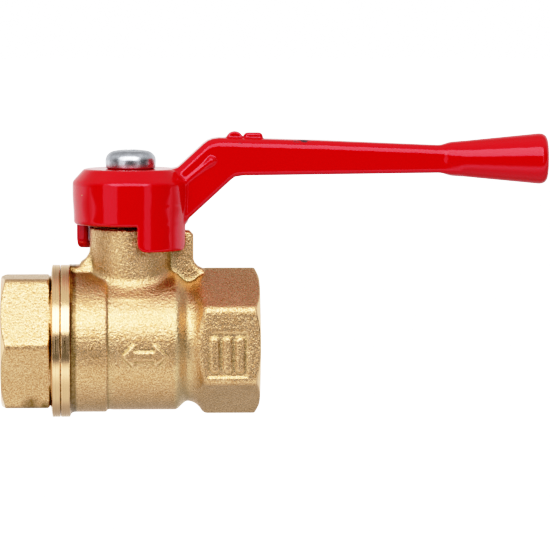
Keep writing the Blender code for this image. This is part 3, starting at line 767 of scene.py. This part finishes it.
def noise(tree, place, scale, detail=2.0, roughness=0.5):
    """Output of a Noise node."""
    made = node(tree, "ShaderNodeTexNoise", None, Vector=place, Scale=scale, Detail=detail,
                Roughness=roughness)
    return made.outputs["Fac"]


def attribute(tree, name):
    """Number stored at each point of the mesh under this name."""
    return node(tree, "ShaderNodeAttribute", {"attribute_name": name}).outputs["Fac"]


def sand_grain_group():
    """Grain of a shot-blasted forging: two sizes of pit, and the speckle that they make."""
    tree, given, out = new_group(
        "sand_grain",
        [("Grains Per Metre", "NodeSocketFloat", 2600.0), ("Coarseness", "NodeSocketFloat", 0.5)],
        [("Height", "NodeSocketFloat"), ("Speckle", "NodeSocketFloat"), ("Patches", "NodeSocketFloat")],
    )
    place = object_point(tree)
    per_metre = given.outputs["Grains Per Metre"]
    fine = noise(tree, place, per_metre, 3.0, 0.65)
    cells = node(tree, "ShaderNodeTexVoronoi", {"feature": "SMOOTH_F1"}, Vector=place,
                 Scale=maths(tree, "MULTIPLY", per_metre, 0.55), Smoothness=0.35).outputs["Distance"]
    broad = noise(tree, place, maths(tree, "MULTIPLY", per_metre, 0.22), 2.0, 0.5)
    pits = maths(tree, "MULTIPLY_ADD", cells, given.outputs["Coarseness"], fine)
    height = maths(tree, "MULTIPLY_ADD", broad, 0.6, pits)
    tree.links.new(height, out.inputs["Height"])
    tree.links.new(remap(tree, fine, 0.36, 0.68), out.inputs["Speckle"])
    patches = noise(tree, place, 130.0, 3.0, 0.6)
    tree.links.new(remap(tree, patches, 0.35, 0.68), out.inputs["Patches"])
    return tree


def turning_group():
    """Fine lines that a lathe leaves: noise that changes along one axis only."""
    tree, given, out = new_group(
        "turning_lines",
        [("Along", "NodeSocketVector", (1.0, 0.0, 0.0)), ("Lines Per Metre", "NodeSocketFloat", 9000.0)],
        [("Height", "NodeSocketFloat"), ("Streaks", "NodeSocketFloat")],
    )
    per_metre = given.outputs["Lines Per Metre"]
    along = node(tree, "ShaderNodeVectorMath", {"operation": "DOT_PRODUCT"}, i0=object_point(tree),
                 i1=given.outputs["Along"]).outputs["Value"]
    fine = node(tree, "ShaderNodeTexNoise", {"noise_dimensions": "1D"}, W=along, Scale=per_metre,
                Detail=2.0).outputs["Fac"]
    broad = node(tree, "ShaderNodeTexNoise", {"noise_dimensions": "1D"}, W=along,
                 Scale=maths(tree, "MULTIPLY", per_metre, 0.25), Detail=1.0).outputs["Fac"]
    tree.links.new(fine, out.inputs["Height"])
    tree.links.new(remap(tree, broad, 0.3, 0.7), out.inputs["Streaks"])
    return tree


def specks_group():
    """Sparse round specks of dust: cells whose centre is close, kept only where chance allows."""
    tree, given, out = new_group(
        "specks",
        [("Cells Per Metre", "NodeSocketFloat", 300.0), ("Share", "NodeSocketFloat", 0.1),
         ("Size", "NodeSocketFloat", 0.08)],
        [("Mask", "NodeSocketFloat")],
    )
    cells = node(tree, "ShaderNodeTexVoronoi", None, Vector=object_point(tree),
                 Scale=given.outputs["Cells Per Metre"])
    near = maths(tree, "LESS_THAN", cells.outputs["Distance"], given.outputs["Size"])
    red = node(tree, "ShaderNodeSeparateColor", None, Color=cells.outputs["Color"]).outputs[0]
    kept = maths(tree, "LESS_THAN", red, given.outputs["Share"])
    tree.links.new(maths(tree, "MULTIPLY", near, kept), out.inputs["Mask"])
    return tree


def use(tree, group, **values):
    """Place a node group with its own values."""
    made = tree.nodes.new("ShaderNodeGroup")
    made.node_tree = group
    for label, value in values.items():
        socket = made.inputs[label.replace("_", " ")]
        if isinstance(value, bpy.types.NodeSocket):
            tree.links.new(value, socket)
        else:
            socket.default_value = value
    return made.outputs


def bump(tree, height, distance, strength, base=None):
    """Normal bent by a height, on top of another normal if one is given."""
    made = node(tree, "ShaderNodeBump", None, Height=height, Distance=distance, Strength=strength)
    if base is not None:
        tree.links.new(base, made.inputs["Normal"])
    return made.outputs["Normal"]


def forged_brass(groups, settings):
    """Shot-blasted brass where it is forged, smooth turned brass where it is machined."""
    mat, tree, shader = new_material("blasted_brass")
    grain = use(tree, groups["sand"], Grains_Per_Metre=settings.grains_per_metre, Coarseness=0.55)
    lathe = use(tree, groups["turning"], Along=(1.0, 0.0, 0.0), Lines_Per_Metre=11000.0)
    machined = attribute(tree, "machined")
    bend = attribute(tree, "bend")
    deep = shade(settings.brass_colour, (0.58, 0.46, 0.28))
    pale = shade(settings.brass_colour, (1.13, 1.19, 1.32))
    colour = blend(tree, grain["Speckle"], pale, deep)
    colour = blend(tree, maths(tree, "MULTIPLY", grain["Patches"], 0.22), colour, deep)
    colour = blend(tree, attribute(tree, "residue"), colour, RESIDUE_COLOUR)
    # painted shade: hollows, where the bend is below 0, darken towards a deeper brass
    hollow = remap(tree, bend, -0.03, -0.25, 0.0, 0.7)
    colour = blend(tree, hollow, colour, shade(deep, (0.62, 0.92, 0.95)))
    # painted highlight: outer edges, where the bend is above 0, pale towards a whiter brass
    colour = blend(tree, remap(tree, bend, 0.06, 0.25, 0.0, 0.5), colour, pale)
    smooth = (*settings.turned_colour, 1.0)
    smooth_dark = shade(settings.turned_colour, (0.86, 0.86, 0.86))
    colour = blend(tree, machined, colour, blend(tree, lathe["Streaks"], smooth, smooth_dark))
    cloud = noise(tree, object_point(tree), 700.0, 3.0, 0.65)
    # the stain mark: real tarnish beside the ring and painted shade in the inlet's undercut, broken up by a
    # cloud
    stain_and_shade = maths(tree, "MULTIPLY", attribute(tree, "stain_and_shade"), remap(tree, cloud, 0.3, 0.6, 0.55, 1.0))
    colour = blend(tree, stain_and_shade, colour, STAIN_AND_SHADE_COLOUR)
    smear = maths(tree, "MULTIPLY", attribute(tree, "smear"), remap(tree, cloud, 0.46, 0.56))
    colour = blend(tree, smear, colour, SMEAR_COLOUR)
    tree.links.new(colour, shader.inputs["Base Color"])
    rough = remap(tree, grain["Speckle"], 0.0, 1.0, 0.24, 0.36)
    polish = remap(tree, lathe["Streaks"], 0.0, 1.0, 0.14, 0.2)
    tree.links.new(blend_number(tree, machined, rough, polish), shader.inputs["Roughness"])
    shader.inputs["Metallic"].default_value = 1.0
    blasted = bump(tree, grain["Height"], 0.12 * MM, maths(tree, "SUBTRACT", 1.0, machined))
    lines = bump(tree, lathe["Height"], 0.035 * MM, machined, blasted)
    tree.links.new(lines, shader.inputs["Normal"])
    return mat


def turned_brass(groups, settings, along):
    """Bright turned brass with lathe lines across the given axis."""
    mat, tree, shader = new_material("lathe_brass")
    lathe = use(tree, groups["turning"], Along=along, Lines_Per_Metre=7000.0)
    smooth = (*settings.turned_colour, 1.0)
    dark = shade(settings.turned_colour, (0.8, 0.8, 0.8))
    tree.links.new(blend(tree, lathe["Streaks"], smooth, dark), shader.inputs["Base Color"])
    tree.links.new(remap(tree, lathe["Streaks"], 0.0, 1.0, 0.16, 0.26), shader.inputs["Roughness"])
    shader.inputs["Metallic"].default_value = 1.0
    tree.links.new(bump(tree, lathe["Height"], 0.01 * MM, 0.5), shader.inputs["Normal"])
    return mat


def red_enamel(groups, settings):
    """Thick glossy enamel: slight orange peel, dust specks, and chips on its sharp edges."""
    mat, tree, shader = new_material("glossy_enamel")
    place = object_point(tree)
    bend = attribute(tree, "bend")
    red = (*settings.paint_colour, 1.0)
    deep = shade(settings.paint_colour, (0.72, 0.72, 0.72))
    # painted shade: hollows, where the bend is below 0, darken towards a deeper red
    colour = blend(tree, remap(tree, bend, -0.02, -0.2, 0.0, 0.8), red, deep)
    dust = use(tree, groups["specks"], Cells_Per_Metre=420.0, Share=0.05, Size=0.075)["Mask"]
    colour = blend(tree, dust, colour, DUST_COLOUR)
    rough_edge = noise(tree, place, 900.0, 3.0, 0.6)
    rare = noise(tree, place, 95.0, 1.0, 0.5)
    chip = maths(tree, "MULTIPLY", remap(tree, bend, 0.10, 0.16), remap(tree, rare, 0.66, 0.68))
    chip = maths(tree, "MAXIMUM", chip, attribute(tree, "worn"))
    chip = maths(tree, "MULTIPLY", chip, remap(tree, rough_edge, 0.47, 0.52))
    colour = blend(tree, chip, colour, CHIP_COLOUR)
    tree.links.new(colour, shader.inputs["Base Color"])
    rough = remap(tree, noise(tree, place, 160.0, 2.0), 0.3, 0.7, 0.09, 0.14)
    tree.links.new(blend_number(tree, chip, rough, 0.6), shader.inputs["Roughness"])
    shader.inputs["Specular IOR Level"].default_value = 0.9
    shader.inputs["Specular Tint"].default_value = ENAMEL_REFLECTION
    peel = bump(tree, noise(tree, place, 330.0, 2.0), 0.12 * MM, 0.25)
    flecks = maths(tree, "SUBTRACT", dust, chip)
    tree.links.new(bump(tree, flecks, 0.05 * MM, 0.5, peel), shader.inputs["Normal"])
    return mat


def zinc(settings):
    """Zinc plate: cool grey with faint mottling."""
    mat, tree, shader = new_material("zinc_coat")
    place = object_point(tree)
    mottle = remap(tree, noise(tree, place, 900.0, 3.0, 0.6), 0.35, 0.7)
    light = (*settings.zinc_colour, 1.0)
    dark = shade(settings.zinc_colour, (0.72, 0.72, 0.72))
    tree.links.new(blend(tree, mottle, light, dark), shader.inputs["Base Color"])
    tree.links.new(remap(tree, mottle, 0.0, 1.0, 0.24, 0.38), shader.inputs["Roughness"])
    shader.inputs["Metallic"].default_value = 1.0
    tree.links.new(bump(tree, mottle, 0.02 * MM, 0.5), shader.inputs["Normal"])
    return mat


def chrome():
    """Hard chrome on the ball, with the faintest polishing haze."""
    mat, tree, shader = new_material("chrome_coat")
    haze = noise(tree, object_point(tree), 400.0, 3.0, 0.6)
    tree.links.new(remap(tree, haze, 0.3, 0.7, 0.05, 0.11), shader.inputs["Roughness"])
    colour = blend(tree, haze, (0.72, 0.73, 0.75, 1.0), (0.80, 0.81, 0.83, 1.0))
    tree.links.new(colour, shader.inputs["Base Color"])
    shader.inputs["Metallic"].default_value = 1.0
    return mat


def ptfe():
    """Waxy white plastic of the seats and seals."""
    mat, tree, shader = new_material("white_ptfe")
    cloud = noise(tree, object_point(tree), 260.0, 2.0)
    colour = blend(tree, cloud, (0.83, 0.83, 0.80, 1.0), (0.90, 0.90, 0.87, 1.0))
    tree.links.new(colour, shader.inputs["Base Color"])
    tree.links.new(remap(tree, cloud, 0.3, 0.7, 0.42, 0.55), shader.inputs["Roughness"])
    shader.inputs["Subsurface Weight"].default_value = 0.15
    shader.inputs["Subsurface Radius"].default_value = (0.001, 0.001, 0.0009)
    return mat


def rubber():
    """Black nitrile rubber."""
    mat, tree, shader = new_material("nitrile_rubber")
    grain = noise(tree, object_point(tree), 2400.0, 2.0)
    colour = blend(tree, grain, (0.015, 0.015, 0.016, 1.0), (0.03, 0.03, 0.03, 1.0))
    tree.links.new(colour, shader.inputs["Base Color"])
    tree.links.new(remap(tree, grain, 0.3, 0.7, 0.5, 0.7), shader.inputs["Roughness"])
    tree.links.new(bump(tree, grain, 0.02 * MM, 0.4), shader.inputs["Normal"])
    return mat


def make_groups():
    """The shared node groups, each made the first time that it is asked for."""
    makers = {
        "sand": ("sand_grain", sand_grain_group),
        "turning": ("turning_lines", turning_group),
        "specks": ("specks", specks_group),
    }
    return {key: bpy.data.node_groups.get(name) or make() for key, (name, make) in makers.items()}


# ---------------------------------------------------------------- settings, operators, panel


class ValveSettings(bpy.types.PropertyGroup):
    """Sizes and colours that a user may change."""

    cell: FloatProperty(
        name="Cell", description="Grid spacing of the cast and forged skins", default=0.34 * MM,
        min=0.1 * MM, unit="LENGTH", precision=5,
    )
    grains_per_metre: FloatProperty(
        name="Grain", description="Blasting pits per metre", default=3000.0, min=100.0,
    )
    brass_colour: FloatVectorProperty(
        name="Forged brass", description="Colour of the blasted brass", subtype="COLOR", size=3,
        min=0.0, max=1.0, default=(0.82, 0.552, 0.295),
    )
    turned_colour: FloatVectorProperty(
        name="Turned brass", description="Colour of the machined brass", subtype="COLOR", size=3,
        min=0.0, max=1.0, default=(0.95, 0.64, 0.36),
    )
    paint_colour: FloatVectorProperty(
        name="Enamel", description="Colour of the lever's paint", subtype="COLOR", size=3,
        min=0.0, max=1.0, default=(0.59, 0.0, 0.003),
    )
    zinc_colour: FloatVectorProperty(
        name="Zinc", description="Colour of the screw's plating", subtype="COLOR", size=3,
        min=0.0, max=1.0, default=(0.62, 0.64, 0.68),
    )


def settings_now():
    """The scene's valve settings."""
    return bpy.context.scene.ball_valve


class VALVE_OT_body(bpy.types.Operator):
    """Make the valve body's forging"""

    bl_idname = "ball_valve.make_body"
    bl_label = "Body"

    def execute(self, context):
        settings = settings_now()
        cell = BODY_CELL * settings.cell
        margin = MARGIN_CELLS * cell
        reach = RING_RADIUS + margin
        ring_end = -14.0 * MM
        lines = [
            spread((RING_SEAM - 0.3 * MM, ring_end, RING_CELL * settings.cell),
                   (ring_end, OUTLET_END + margin, cell)),
            spread((-reach, reach, cell)),
            spread((-reach, NECK_TOP + margin, cell)),
        ]
        points, quads = skin(body_field, lines)
        around = np.hypot(points[:, 1], points[:, 2])
        across = np.hypot(points[:, 0], points[:, 1])
        x, z = points[:, 0], points[:, 2]
        # machined: all bores, the outlet's end face and cone, the polished ring and the neck's top
        bored = body_outside(*points.T) < -0.08 * MM
        on_cone = np.abs(end_cone(OUTLET_END - x, around)) < ON_CONE
        machined = bored | (x > OUTLET_END - 0.1 * MM) | on_cone
        machined |= (x < RING_RIGHT) & (around > RING_RADIUS - 0.2 * MM)
        machined |= (z > NECK_TOP - 0.05 * MM) & (across < NECK_RADIUS - 0.4 * MM)
        bend = bend_of(body_outside, points, EDGE_REACH)
        # residue: the wide hollows and the slope of the waist; the stain mark here holds only the tarnished
        # line beside the ring
        residue = 0.35 * np.clip(-bend_of(body_outside, points, HOLLOW_REACH) / 0.16, 0.0, 1.0)
        slope = step(x, 9.9 * MM, 10.8 * MM) * step(-x, -13.6 * MM, -12.4 * MM) * (np.abs(z) < 15.8 * MM)
        residue = np.maximum(residue, 0.65 * slope)
        beside_ring = step(-x, 12.9 * MM, 13.3 * MM) * step(around, 16.6 * MM, 16.9 * MM) * ~machined
        marks = {
            "machined": machined,
            "bend": bend,
            "residue": residue,
            "stain_and_shade": beside_ring * 0.75,
            "smear": blob(points, (10.3 * MM, -9.5 * MM, 12.4 * MM), 2.2 * MM),
        }
        piece = add_mesh("body_forging", points, quads, marks)
        material = forged_brass(make_groups(), settings)
        install(piece, "housing", "forged_brass", material, "valve_body")
        return {"FINISHED"}


class VALVE_OT_connector(bpy.types.Operator):
    """Make the end connector"""

    bl_idname = "ball_valve.make_connector"
    bl_label = "End connector"

    def execute(self, context):
        cell = CONNECTOR_CELL * settings_now().cell
        margin = MARGIN_CELLS * cell
        reach = RING_RADIUS + margin
        ring_start = INLET_HEX_INNER - MM
        ring_end = RING_SEAM + 0.2 * MM
        lines = [
            spread((INLET_END - margin, ring_start, cell), (ring_start, ring_end, RING_CELL * cell),
                   (ring_end, CONNECTOR_HIGH.x + margin, SPIGOT_CELL * cell)),
            spread((-reach, reach, cell)),
            spread((-reach, reach, cell)),
        ]
        points, quads = skin(connector_field, lines)
        around = np.hypot(points[:, 1], points[:, 2])
        x = points[:, 0]
        # machined: everything but the hexagon's flats and the undercut behind it
        on_cone = np.abs(end_cone(x - INLET_END, around)) < ON_CONE
        machined = (x > INLET_HEX_INNER - 0.1 * MM) | (x < INLET_END + 0.1 * MM) | on_cone
        machined |= around < HEX_HALF_FLATS - 0.3 * MM
        undercut = (x > INLET_HEX_INNER) & (around < RING_RADIUS - 1.6 * MM) & (x < RING_LEFT + MM)
        # two dark patches on the lower front of the hexagon
        lower_front_patch = blob(points, (-24.0 * MM, -9.6 * MM, -14.4 * MM), 3.4 * MM)
        corner = blob(points, (-20.4 * MM, -9.4 * MM, -14.8 * MM), 2.2 * MM)
        nothing = np.zeros(len(points))
        marks = {
            "machined": machined & ~undercut,
            "bend": bend_of(connector_field, points, EDGE_REACH),
            "residue": nothing,
            # painted shade: the undercut recess darkened to 0.3, in one mark with the dark patches
            "stain_and_shade": np.maximum(undercut * 0.3, np.maximum(lower_front_patch, corner)),
            "smear": nothing,
        }
        piece = add_mesh("connector_forging", points, quads, marks)
        install(piece, "housing", "forged_brass", bpy.data.materials["blasted_brass"], "end_connector")
        return {"FINISHED"}


class VALVE_OT_ball_and_seats(bpy.types.Operator):
    """Make the ball and its two seats"""

    bl_idname = "ball_valve.make_ball"
    bl_label = "Ball and seats"

    def execute(self, context):
        # the port cuts the ball short along the pipe
        lines = [spread((-half, half, BALL_CELL)) for half in (12.0 * MM, 15.0 * MM, 15.0 * MM)]
        points, quads = skin(ball_field, lines)
        ball = add_mesh("chrome_ball", points, quads)
        install(ball, "ball", "chromed_brass", chrome(), "ball")
        white = ptfe()
        reach = BALL_RADIUS + BALL_GAP
        inner = math.asin(SEAT_INNER / reach)
        outer = math.asin((SEAT_OUTER - 0.8 * MM) / reach)
        angle = np.linspace(inner, outer, 9)
        for name, side in (("inlet_seat", -1.0), ("outlet_seat", 1.0)):
            face = [(side * reach * math.cos(a), reach * math.sin(a)) for a in angle]
            back = side * SEAT_BACK
            profile = face + [(face[-1][0], SEAT_OUTER), (back, SEAT_OUTER), (back, SEAT_INNER)]
            seat = turned(name + "_ring", profile)
            seat.data.set_sharp_from_angle(angle=math.radians(35.0))
            install(seat, "housing", "ptfe", white, name)
        return {"FINISHED"}


class VALVE_OT_gland_nut(bpy.types.Operator):
    """Make the gland nut"""

    bl_idname = "ball_valve.make_nut"
    bl_label = "Gland nut"

    def execute(self, context):
        reach = 10.2 * MM
        lines = [
            spread((-reach, reach, NUT_CELL)),
            spread((-reach, reach, NUT_CELL)),
            spread((NUT_LOW.z - 0.6 * MM, NUT_HIGH.z + 0.6 * MM, NUT_CELL)),
        ]
        points, quads = skin(nut_field, lines)
        piece = add_mesh("packing_nut", points, quads)
        material = turned_brass(make_groups(), settings_now(), (0.0, 0.0, 1.0))
        install(piece, "housing", "turned_brass", material, "gland_nut")
        return {"FINISHED"}


class VALVE_OT_lever(bpy.types.Operator):
    """Make the lever casting"""

    bl_idname = "ball_valve.make_lever"
    bl_label = "Lever"

    def execute(self, context):
        settings = settings_now()
        cell = settings.cell
        margin = MARGIN_CELLS * cell
        reach = HUB_RADIUS + margin
        lines = [
            spread((-reach, LEVER_HIGH.x + margin, cell)),
            spread((-reach, reach, cell)),
            spread((LUG_BOTTOM - margin, LEVER_HIGH.z + 4.0 * cell, cell)),
        ]
        points, quads = skin(lever_field, lines)
        bend = bend_of(lever_field, points, EDGE_REACH)
        worn = np.zeros(len(points))
        for centre, size in WORN_SPOTS:
            away = (points / MM - np.array(centre)) / np.array(size)
            worn = np.maximum(worn, 1.0 - step(np.linalg.norm(away, axis=1), 0.5, 1.0))
        piece = add_mesh("lever_casting", points, quads, {"bend": bend, "worn": worn})
        install(piece, "handle", "red_paint", red_enamel(make_groups(), settings), "lever_handle")
        return {"FINISHED"}


class VALVE_OT_screw(bpy.types.Operator):
    """Make the lever's screw"""

    bl_idname = "ball_valve.make_screw"
    bl_label = "Screw"

    def execute(self, context):
        reach = HEAD_RADIUS + 0.6 * MM
        head_start = HEAD_SEAT - 0.5 * MM
        lines = [
            spread((-reach, reach, SCREW_CELL)),
            spread((-reach, reach, SCREW_CELL)),
            spread((SCREW_LOW.z - MM, head_start, 0.5 * MM), (head_start, HEAD_TOP + 0.6 * MM, SCREW_CELL)),
        ]
        points, quads = skin(screw_field, lines)
        piece = add_mesh("pan_head_screw", points, quads)
        install(piece, "handle", "zinc_plate", zinc(settings_now()), "handle_screw")
        return {"FINISHED"}


class VALVE_OT_inner_parts(bpy.types.Operator):
    """Give the stem, the seals and the packing their materials"""

    bl_idname = "ball_valve.finish_inner_parts"
    bl_label = "Inner parts"

    def execute(self, context):
        white = bpy.data.materials["white_ptfe"]
        finishes = {
            "stem": bpy.data.materials["lathe_brass"],
            "stem_thrust_washer": white,
            "packing_ring_lower": white,
            "packing_ring_upper": white,
            "body_seal_ring": white,
            "stem_o_ring": rubber(),
        }
        for name, material in finishes.items():
            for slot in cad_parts[name].material_slots:
                slot.material = material
        return {"FINISHED"}


class VALVE_OT_stage(bpy.types.Operator):
    """Make the floor, the studio light and the camera"""

    bl_idname = "ball_valve.make_stage"
    bl_label = "Stage"

    def execute(self, context):
        scene = bpy.context.scene
        set_tone(scene.view_settings)
        corners = [(u * FLOOR_HALF, v * FLOOR_HALF, FLOOR_HEIGHT)
                   for u, v in ((-1.0, -1.0), (1.0, -1.0), (1.0, 1.0), (-1.0, 1.0))]
        floor = add_mesh("floor", np.array(corners), np.array([[0, 1, 2, 3]]))
        floor.data.materials.append(white_floor())
        add_camera(scene)
        add_world(scene)
        for name, azimuth, elevation, width, height, radiance in SOFT_BOXES:
            add_soft_box(name, azimuth, elevation, width, height, radiance)
        return {"FINISHED"}


def set_tone(view):
    """Plain colours with a soft shoulder, so that bright metal fades to white and does not clip."""
    view.view_transform = "Standard"
    view.use_curve_mapping = True
    mapping = view.curve_mapping
    mapping.white_level = (WHITE_LEVEL, WHITE_LEVEL, WHITE_LEVEL)
    curve = mapping.curves[3]
    for value, shown in TONE_CURVE:
        curve.points.new(value, shown)
    mapping.update()


def white_floor():
    """White table: plain white to the eye; elsewhere it glows as painted light, unevenly, as seen in the
    valve's reflections, with a dim painted shadow behind the valve.
    """
    mat, tree, shader = new_material("pale_floor")
    seen = node(tree, "ShaderNodeLightPath").outputs["Is Camera Ray"]
    depth = node(tree, "ShaderNodeSeparateXYZ", None, Vector=object_point(tree)).outputs["Y"]
    glow = remap(tree, depth, -0.8, -0.5, FRONT_GLOW, FRONT_BAND_GLOW)
    glow = blend_number(tree, remap(tree, depth, -0.4, -0.2), glow, TABLE_GLOW)
    # painted shadow: the glow drops behind the valve, where its shadow would fall
    glow = blend_number(tree, remap(tree, depth, 0.03, 0.16), glow, SHADOW_GLOW)
    glow = maths(tree, "ADD", glow, remap(tree, depth, 0.4, 1.6, 0.0, BACK_RISE))
    tree.links.new(blend_number(tree, seen, glow, WHITE_LEVEL), shader.inputs["Emission Strength"])
    shader.inputs["Emission Color"].default_value = WHITE
    shader.inputs["Base Color"].default_value = (0.12, 0.12, 0.12, 1.0)
    shader.inputs["Roughness"].default_value = 0.9
    shader.inputs["Specular IOR Level"].default_value = 0.0
    return mat


def add_camera(scene):
    """Long lens a little above the pipe axis, in front of the valve."""
    data = bpy.data.cameras.new("camera")
    data.lens = CAMERA_LENS
    data.sensor_width = 36.0
    data.clip_end = 50.0
    camera = bpy.data.objects.new("camera", data)
    scene.collection.objects.link(camera)
    camera.location = CAMERA_PLACE
    camera.rotation_euler = (Vector(CAMERA_TARGET) - camera.location).to_track_quat("-Z", "Y").to_euler()
    scene.camera = camera


def add_world(scene):
    """Studio surround: white to the eye, dark behind the camera and bright behind the valve."""
    world = bpy.data.worlds.new("studio")
    world.use_nodes = True
    tree = world.node_tree
    background = tree.nodes["Background"]
    seen = node(tree, "ShaderNodeLightPath").outputs["Is Camera Ray"]
    direction = node(tree, "ShaderNodeTexCoord").outputs["Generated"]
    parts = node(tree, "ShaderNodeSeparateXYZ", None, Vector=direction)
    back = remap(tree, parts.outputs["Y"], -0.25, 0.35)
    overhead = remap(tree, parts.outputs["Z"], 0.15, 0.75)
    top = remap(tree, parts.outputs["Y"], 0.1, 0.5, ZENITH_GLOW, BACK_ZENITH_GLOW)
    sky = blend_number(tree, overhead, blend_number(tree, back, ROOM_GLOW, BACK_GLOW), top)
    tree.links.new(blend_number(tree, seen, sky, WHITE_LEVEL), background.inputs["Strength"])
    background.inputs["Color"].default_value = WHITE
    scene.world = world


def add_soft_box(name, azimuth, elevation, width, height, radiance):
    """Rectangular light facing the valve; its place and its size are angles seen from the valve."""
    across, up = math.radians(azimuth), math.radians(elevation)
    data = bpy.data.lights.new(name, "AREA")
    data.shape = "RECTANGLE"
    data.size = 2.0 * LIGHT_DISTANCE * math.tan(math.radians(width / 2.0))
    data.size_y = 2.0 * LIGHT_DISTANCE * math.tan(math.radians(height / 2.0))
    data.energy = radiance * math.pi * data.size * data.size_y
    light = bpy.data.objects.new(name, data)
    level = math.cos(up)
    direction = Vector((math.sin(across) * level, -math.cos(across) * level, math.sin(up)))
    light.location = direction * LIGHT_DISTANCE
    light.rotation_euler = (-light.location).to_track_quat("-Z", "Y").to_euler()
    bpy.context.scene.collection.objects.link(light)


class VALVE_PT_panel(bpy.types.Panel):
    """Sidebar panel that lists the valve's settings and pieces"""

    bl_idname = "VALVE_PT_panel"
    bl_label = "Ball Valve"
    bl_space_type = "VIEW_3D"
    bl_region_type = "UI"
    bl_category = "Valve"

    def draw(self, context):
        sizes = ("cell", "grains_per_metre")
        colours = ("brass_colour", "turned_colour", "paint_colour", "zinc_colour")
        for key in sizes + colours:
            self.layout.prop(context.scene.ball_valve, key)
        for operator in OPERATORS:
            self.layout.operator(operator.bl_idname)


OPERATORS = (
    VALVE_OT_body,
    VALVE_OT_connector,
    VALVE_OT_ball_and_seats,
    VALVE_OT_gland_nut,
    VALVE_OT_lever,
    VALVE_OT_screw,
    VALVE_OT_inner_parts,
    VALVE_OT_stage,
)
CLASSES = (ValveSettings, *OPERATORS, VALVE_PT_panel)


def register():
    """Register the classes and put the settings on the scene."""
    for item in CLASSES:
        bpy.utils.register_class(item)
    bpy.types.Scene.ball_valve = PointerProperty(type=ValveSettings)


def unregister():
    """Take the settings and the classes away again."""
    del bpy.types.Scene.ball_valve
    for item in reversed(CLASSES):
        bpy.utils.unregister_class(item)


def main():
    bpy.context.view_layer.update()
    register()
    for operator in OPERATORS:
        group, action = operator.bl_idname.split(".")
        getattr(getattr(bpy.ops, group), action)()


if __name__ == "__main__":
    main()
